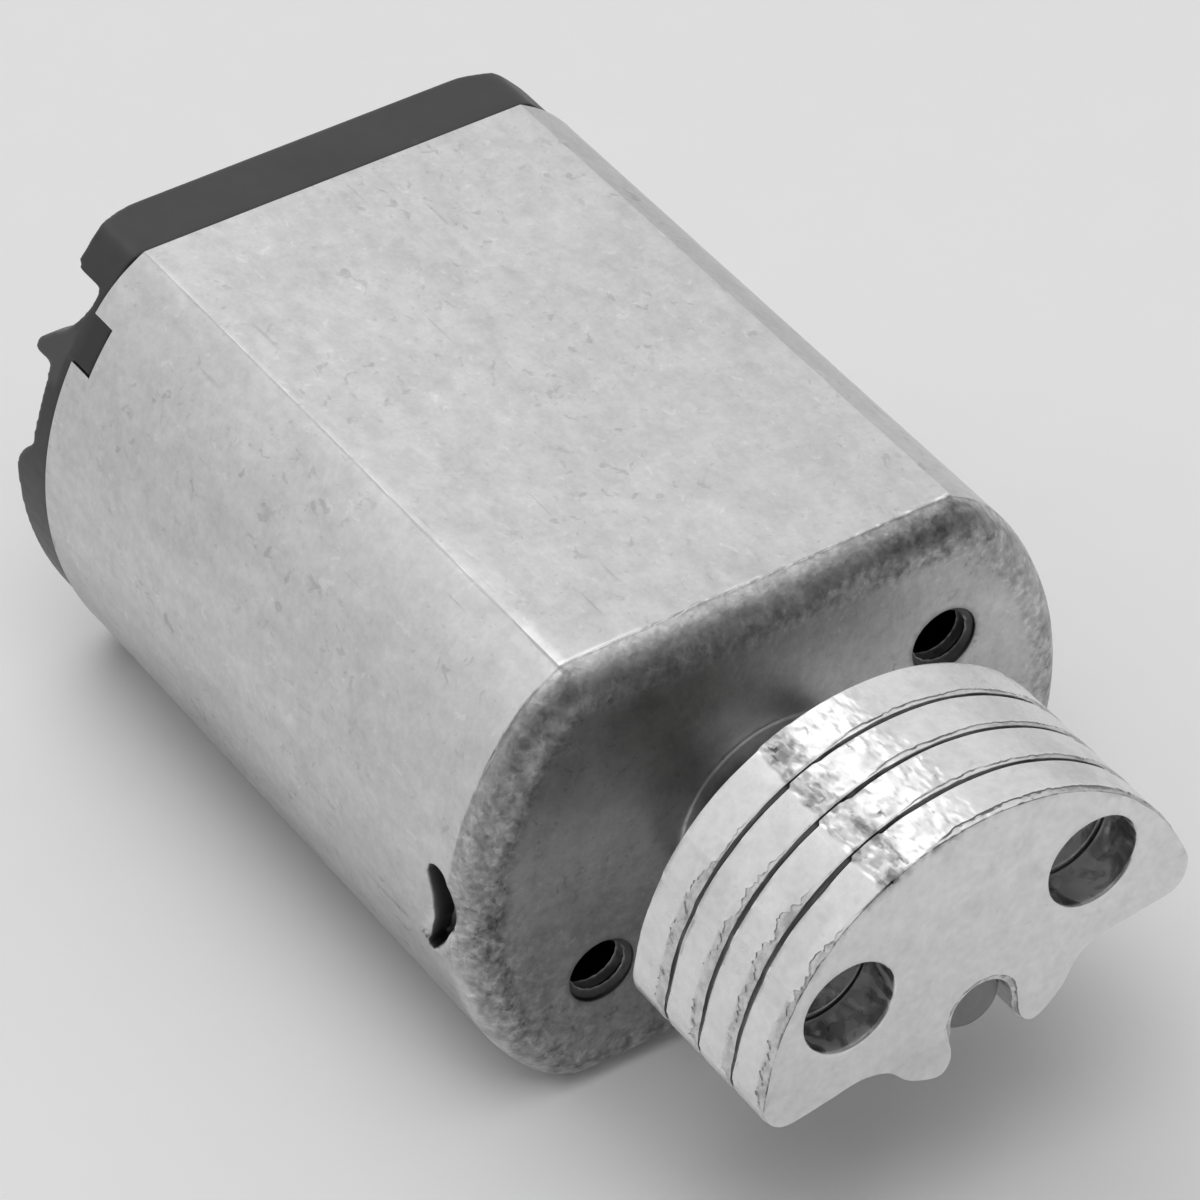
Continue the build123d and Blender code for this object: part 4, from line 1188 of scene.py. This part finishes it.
# enamelled wire: fine turns as a stripe bump along the coil
m, nt, b = new_mat("enamelled_wire")
N = Nodes(nt)
w = nt.nodes.new("ShaderNodeTexWave")
w.wave_type = "BANDS"
w.bands_direction = "X"
w.inputs["Scale"].default_value = 900
w.inputs["Distortion"].default_value = 0.6
N.put(w.inputs["Vector"], N.co)
N.put(b.inputs["Base Color"], N.mix(w.outputs["Fac"], (0.28, 0.09, 0.03, 1), (0.55, 0.22, 0.08, 1)))
b.inputs["Metallic"].default_value = 0.6
b.inputs["Roughness"].default_value = 0.35
N.put(b.inputs["Normal"], N.bump(w.outputs["Fac"], 0.5, 0.00006))
WIRE = m
# ground shaft, with turned rings on its ends; its colour is kept dark as painted shade for its end sunk in the bore
m, nt, b = new_mat("ground_shaft_steel")
N = Nodes(nt)
sep = nt.nodes.new("ShaderNodeSeparateXYZ")
N.put(sep.inputs[0], N.co)
rr = N.math("SQRT", N.plus(N.mul(sep.outputs[1], sep.outputs[1]), N.mul(sep.outputs[2], sep.outputs[2])))
ringv = N.noise(1.0, 2, 0.6, vec=None)
rings_n = nt.nodes.new("ShaderNodeTexNoise")
comb = nt.nodes.new("ShaderNodeCombineXYZ")
N.put(comb.inputs[0], N.mul(rr, 9000))
N.put(comb.inputs[1], N.mul(sep.outputs[0], 5000))
N.put(rings_n.inputs["Vector"], comb.outputs[0])
rings_n.inputs["Scale"].default_value = 1.0
rings_n.inputs["Detail"].default_value = 3
blot = N.noise(900, 3, 0.5)
N.put(b.inputs["Base Color"], N.grey(N.plus(0.12, N.plus(N.mul(rings_n.outputs["Fac"], 0.08), N.mul(blot, 0.10)))))
b.inputs["Metallic"].default_value = 1.0
N.put(b.inputs["Roughness"], N.plus(0.26, N.mul(rings_n.outputs["Fac"], 0.14)))
N.put(b.inputs["Normal"], N.bump(rings_n.outputs["Fac"], 0.18, 0.00003))
SHAFT = m

share = {"rear_bearing": "front_bearing", "magnet_right": "magnet_left", "core_insulator_rear": "core_insulator_front",
         "commutator_hub": "core_insulator_front", "commutator_ring": "core_insulator_front",
         "thrust_washer_rear": "thrust_washer_front", "terminal_right": "terminal_left", "brush_right": "brush_left"}
for node, mat in MATS.items():
    if node.startswith("winding"):
        mat = WIRE
    elif node == "shaft":
        mat = SHAFT
    elif mat is None:
        mat = MATS[share[node]]
    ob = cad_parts[node]
    ob.data.materials.clear()
    ob.data.materials.append(mat)

# the moulded cover's edges are softly rounded
bell_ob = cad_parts["end_bell"]
rm = bell_ob.modifiers.new("even_skin", "REMESH")
rm.mode = "VOXEL"
rm.voxel_size = 0.00008
rm.use_smooth_shade = True
sm = bell_ob.modifiers.new("soft_edges", "SMOOTH")
sm.factor = 0.5
sm.iterations = 3

# ============================================================ floor and light
fm = bpy.data.meshes.new("floor")
half, k = 0.6, 24
gx = np.linspace(-half, half, k + 1)
verts = [(x, y, -H * MM - 0.00001) for y in gx for x in gx]
faces = [(j * (k + 1) + i, j * (k + 1) + i + 1, (j + 1) * (k + 1) + i + 1, (j + 1) * (k + 1) + i) for j in range(k) for i in range(k)]
fm.from_pydata(verts, [], faces)
floor = bpy.data.objects.new("floor", fm)
scene.collection.objects.link(floor)
m, nt, b = new_mat("pale_paper")
N = Nodes(nt)
N.put(b.inputs["Base Color"], N.grey(N.plus(0.92, N.mul(N.noise(400, 3, 0.5), 0.02))))
b.inputs["Roughness"].default_value = 0.9
b.inputs["Specular IOR Level"].default_value = 0.1
floor.data.materials.append(m)


def soft_light(name, where, aim, size, power, size_y=None):
    l = bpy.data.lights.new(name, "AREA")
    l.shape = "RECTANGLE"
    l.size, l.size_y = size, size_y or size
    l.energy = power
    o = bpy.data.objects.new(name, l)
    o.location = where
    o.rotation_mode = "QUATERNION"
    o.rotation_quaternion = (Vector(aim) - Vector(where)).to_track_quat("-Z", "Y")
    scene.collection.objects.link(o)
    return o


KEY = Vector((-0.64, 0.02, 0.76)).normalized()
soft_light("key", KEY * 0.5, (0, 0, 0), 0.26, 0.20)
# lights the floor alone, so that the paper stays pale without a second highlight
over = soft_light("over", (0.16, -0.10, 0.58), (0.02, -0.01, 0), 0.40, 1.05)
over.visible_glossy = False
SKY = Vector((-0.85, -0.03, 0.50)).normalized()
# the studio around it: bright above and behind, dim in front
world = bpy.data.worlds.new("studio")
scene.world = world
world.use_nodes = True
wt = world.node_tree
bg = wt.nodes["Background"]
W = Nodes(wt)
dot = wt.nodes.new("ShaderNodeVectorMath")
dot.operation = "DOT_PRODUCT"
wt.links.new(wt.nodes.new("ShaderNodeTexCoord").outputs["Generated"], dot.inputs[0])
dot.inputs[1].default_value = SKY
bg.inputs[0].default_value = (1, 1, 1, 1)
wt.links.new(W.curve(dot.outputs["Value"], 0.04, 0.78, 0.16, 0.86), bg.inputs[1])

scene.view_settings.view_transform = "Standard"
scene.view_settings.look = "None"
scene.view_settings.exposure = 0.0
scene.view_settings.gamma = 1.0

# -------------------------------------------------------------------- camera
az, el, roll = math.radians(-33.7697), math.radians(40.5796), math.radians(0.1642)
tx, ty, dist, focal = -4.8159, 5.7088, 182.6875, 6579.331
back = Vector((math.cos(el) * math.cos(az), math.cos(el) * math.sin(az), math.sin(el)))
right = Vector((0, 0, 1)).cross(back).normalized()
up = back.cross(right)
r2 = right * math.cos(roll) + up * math.sin(roll)
u2 = up * math.cos(roll) - right * math.sin(roll)
cam = bpy.data.cameras.new("camera")
cam.sensor_fit = "HORIZONTAL"
cam.sensor_width = 36.0
cam.lens = 36.0 * focal / 1200.0
cam.clip_start, cam.clip_end = 0.005, 5.0
cam_ob = bpy.data.objects.new("camera", cam)
cam_ob.matrix_world = Matrix.Translation((r2 * tx + u2 * ty + back * dist) * MM) @ Matrix((r2, u2, back)).transposed().to_4x4()
scene.collection.objects.link(cam_ob)
scene.camera = cam_ob
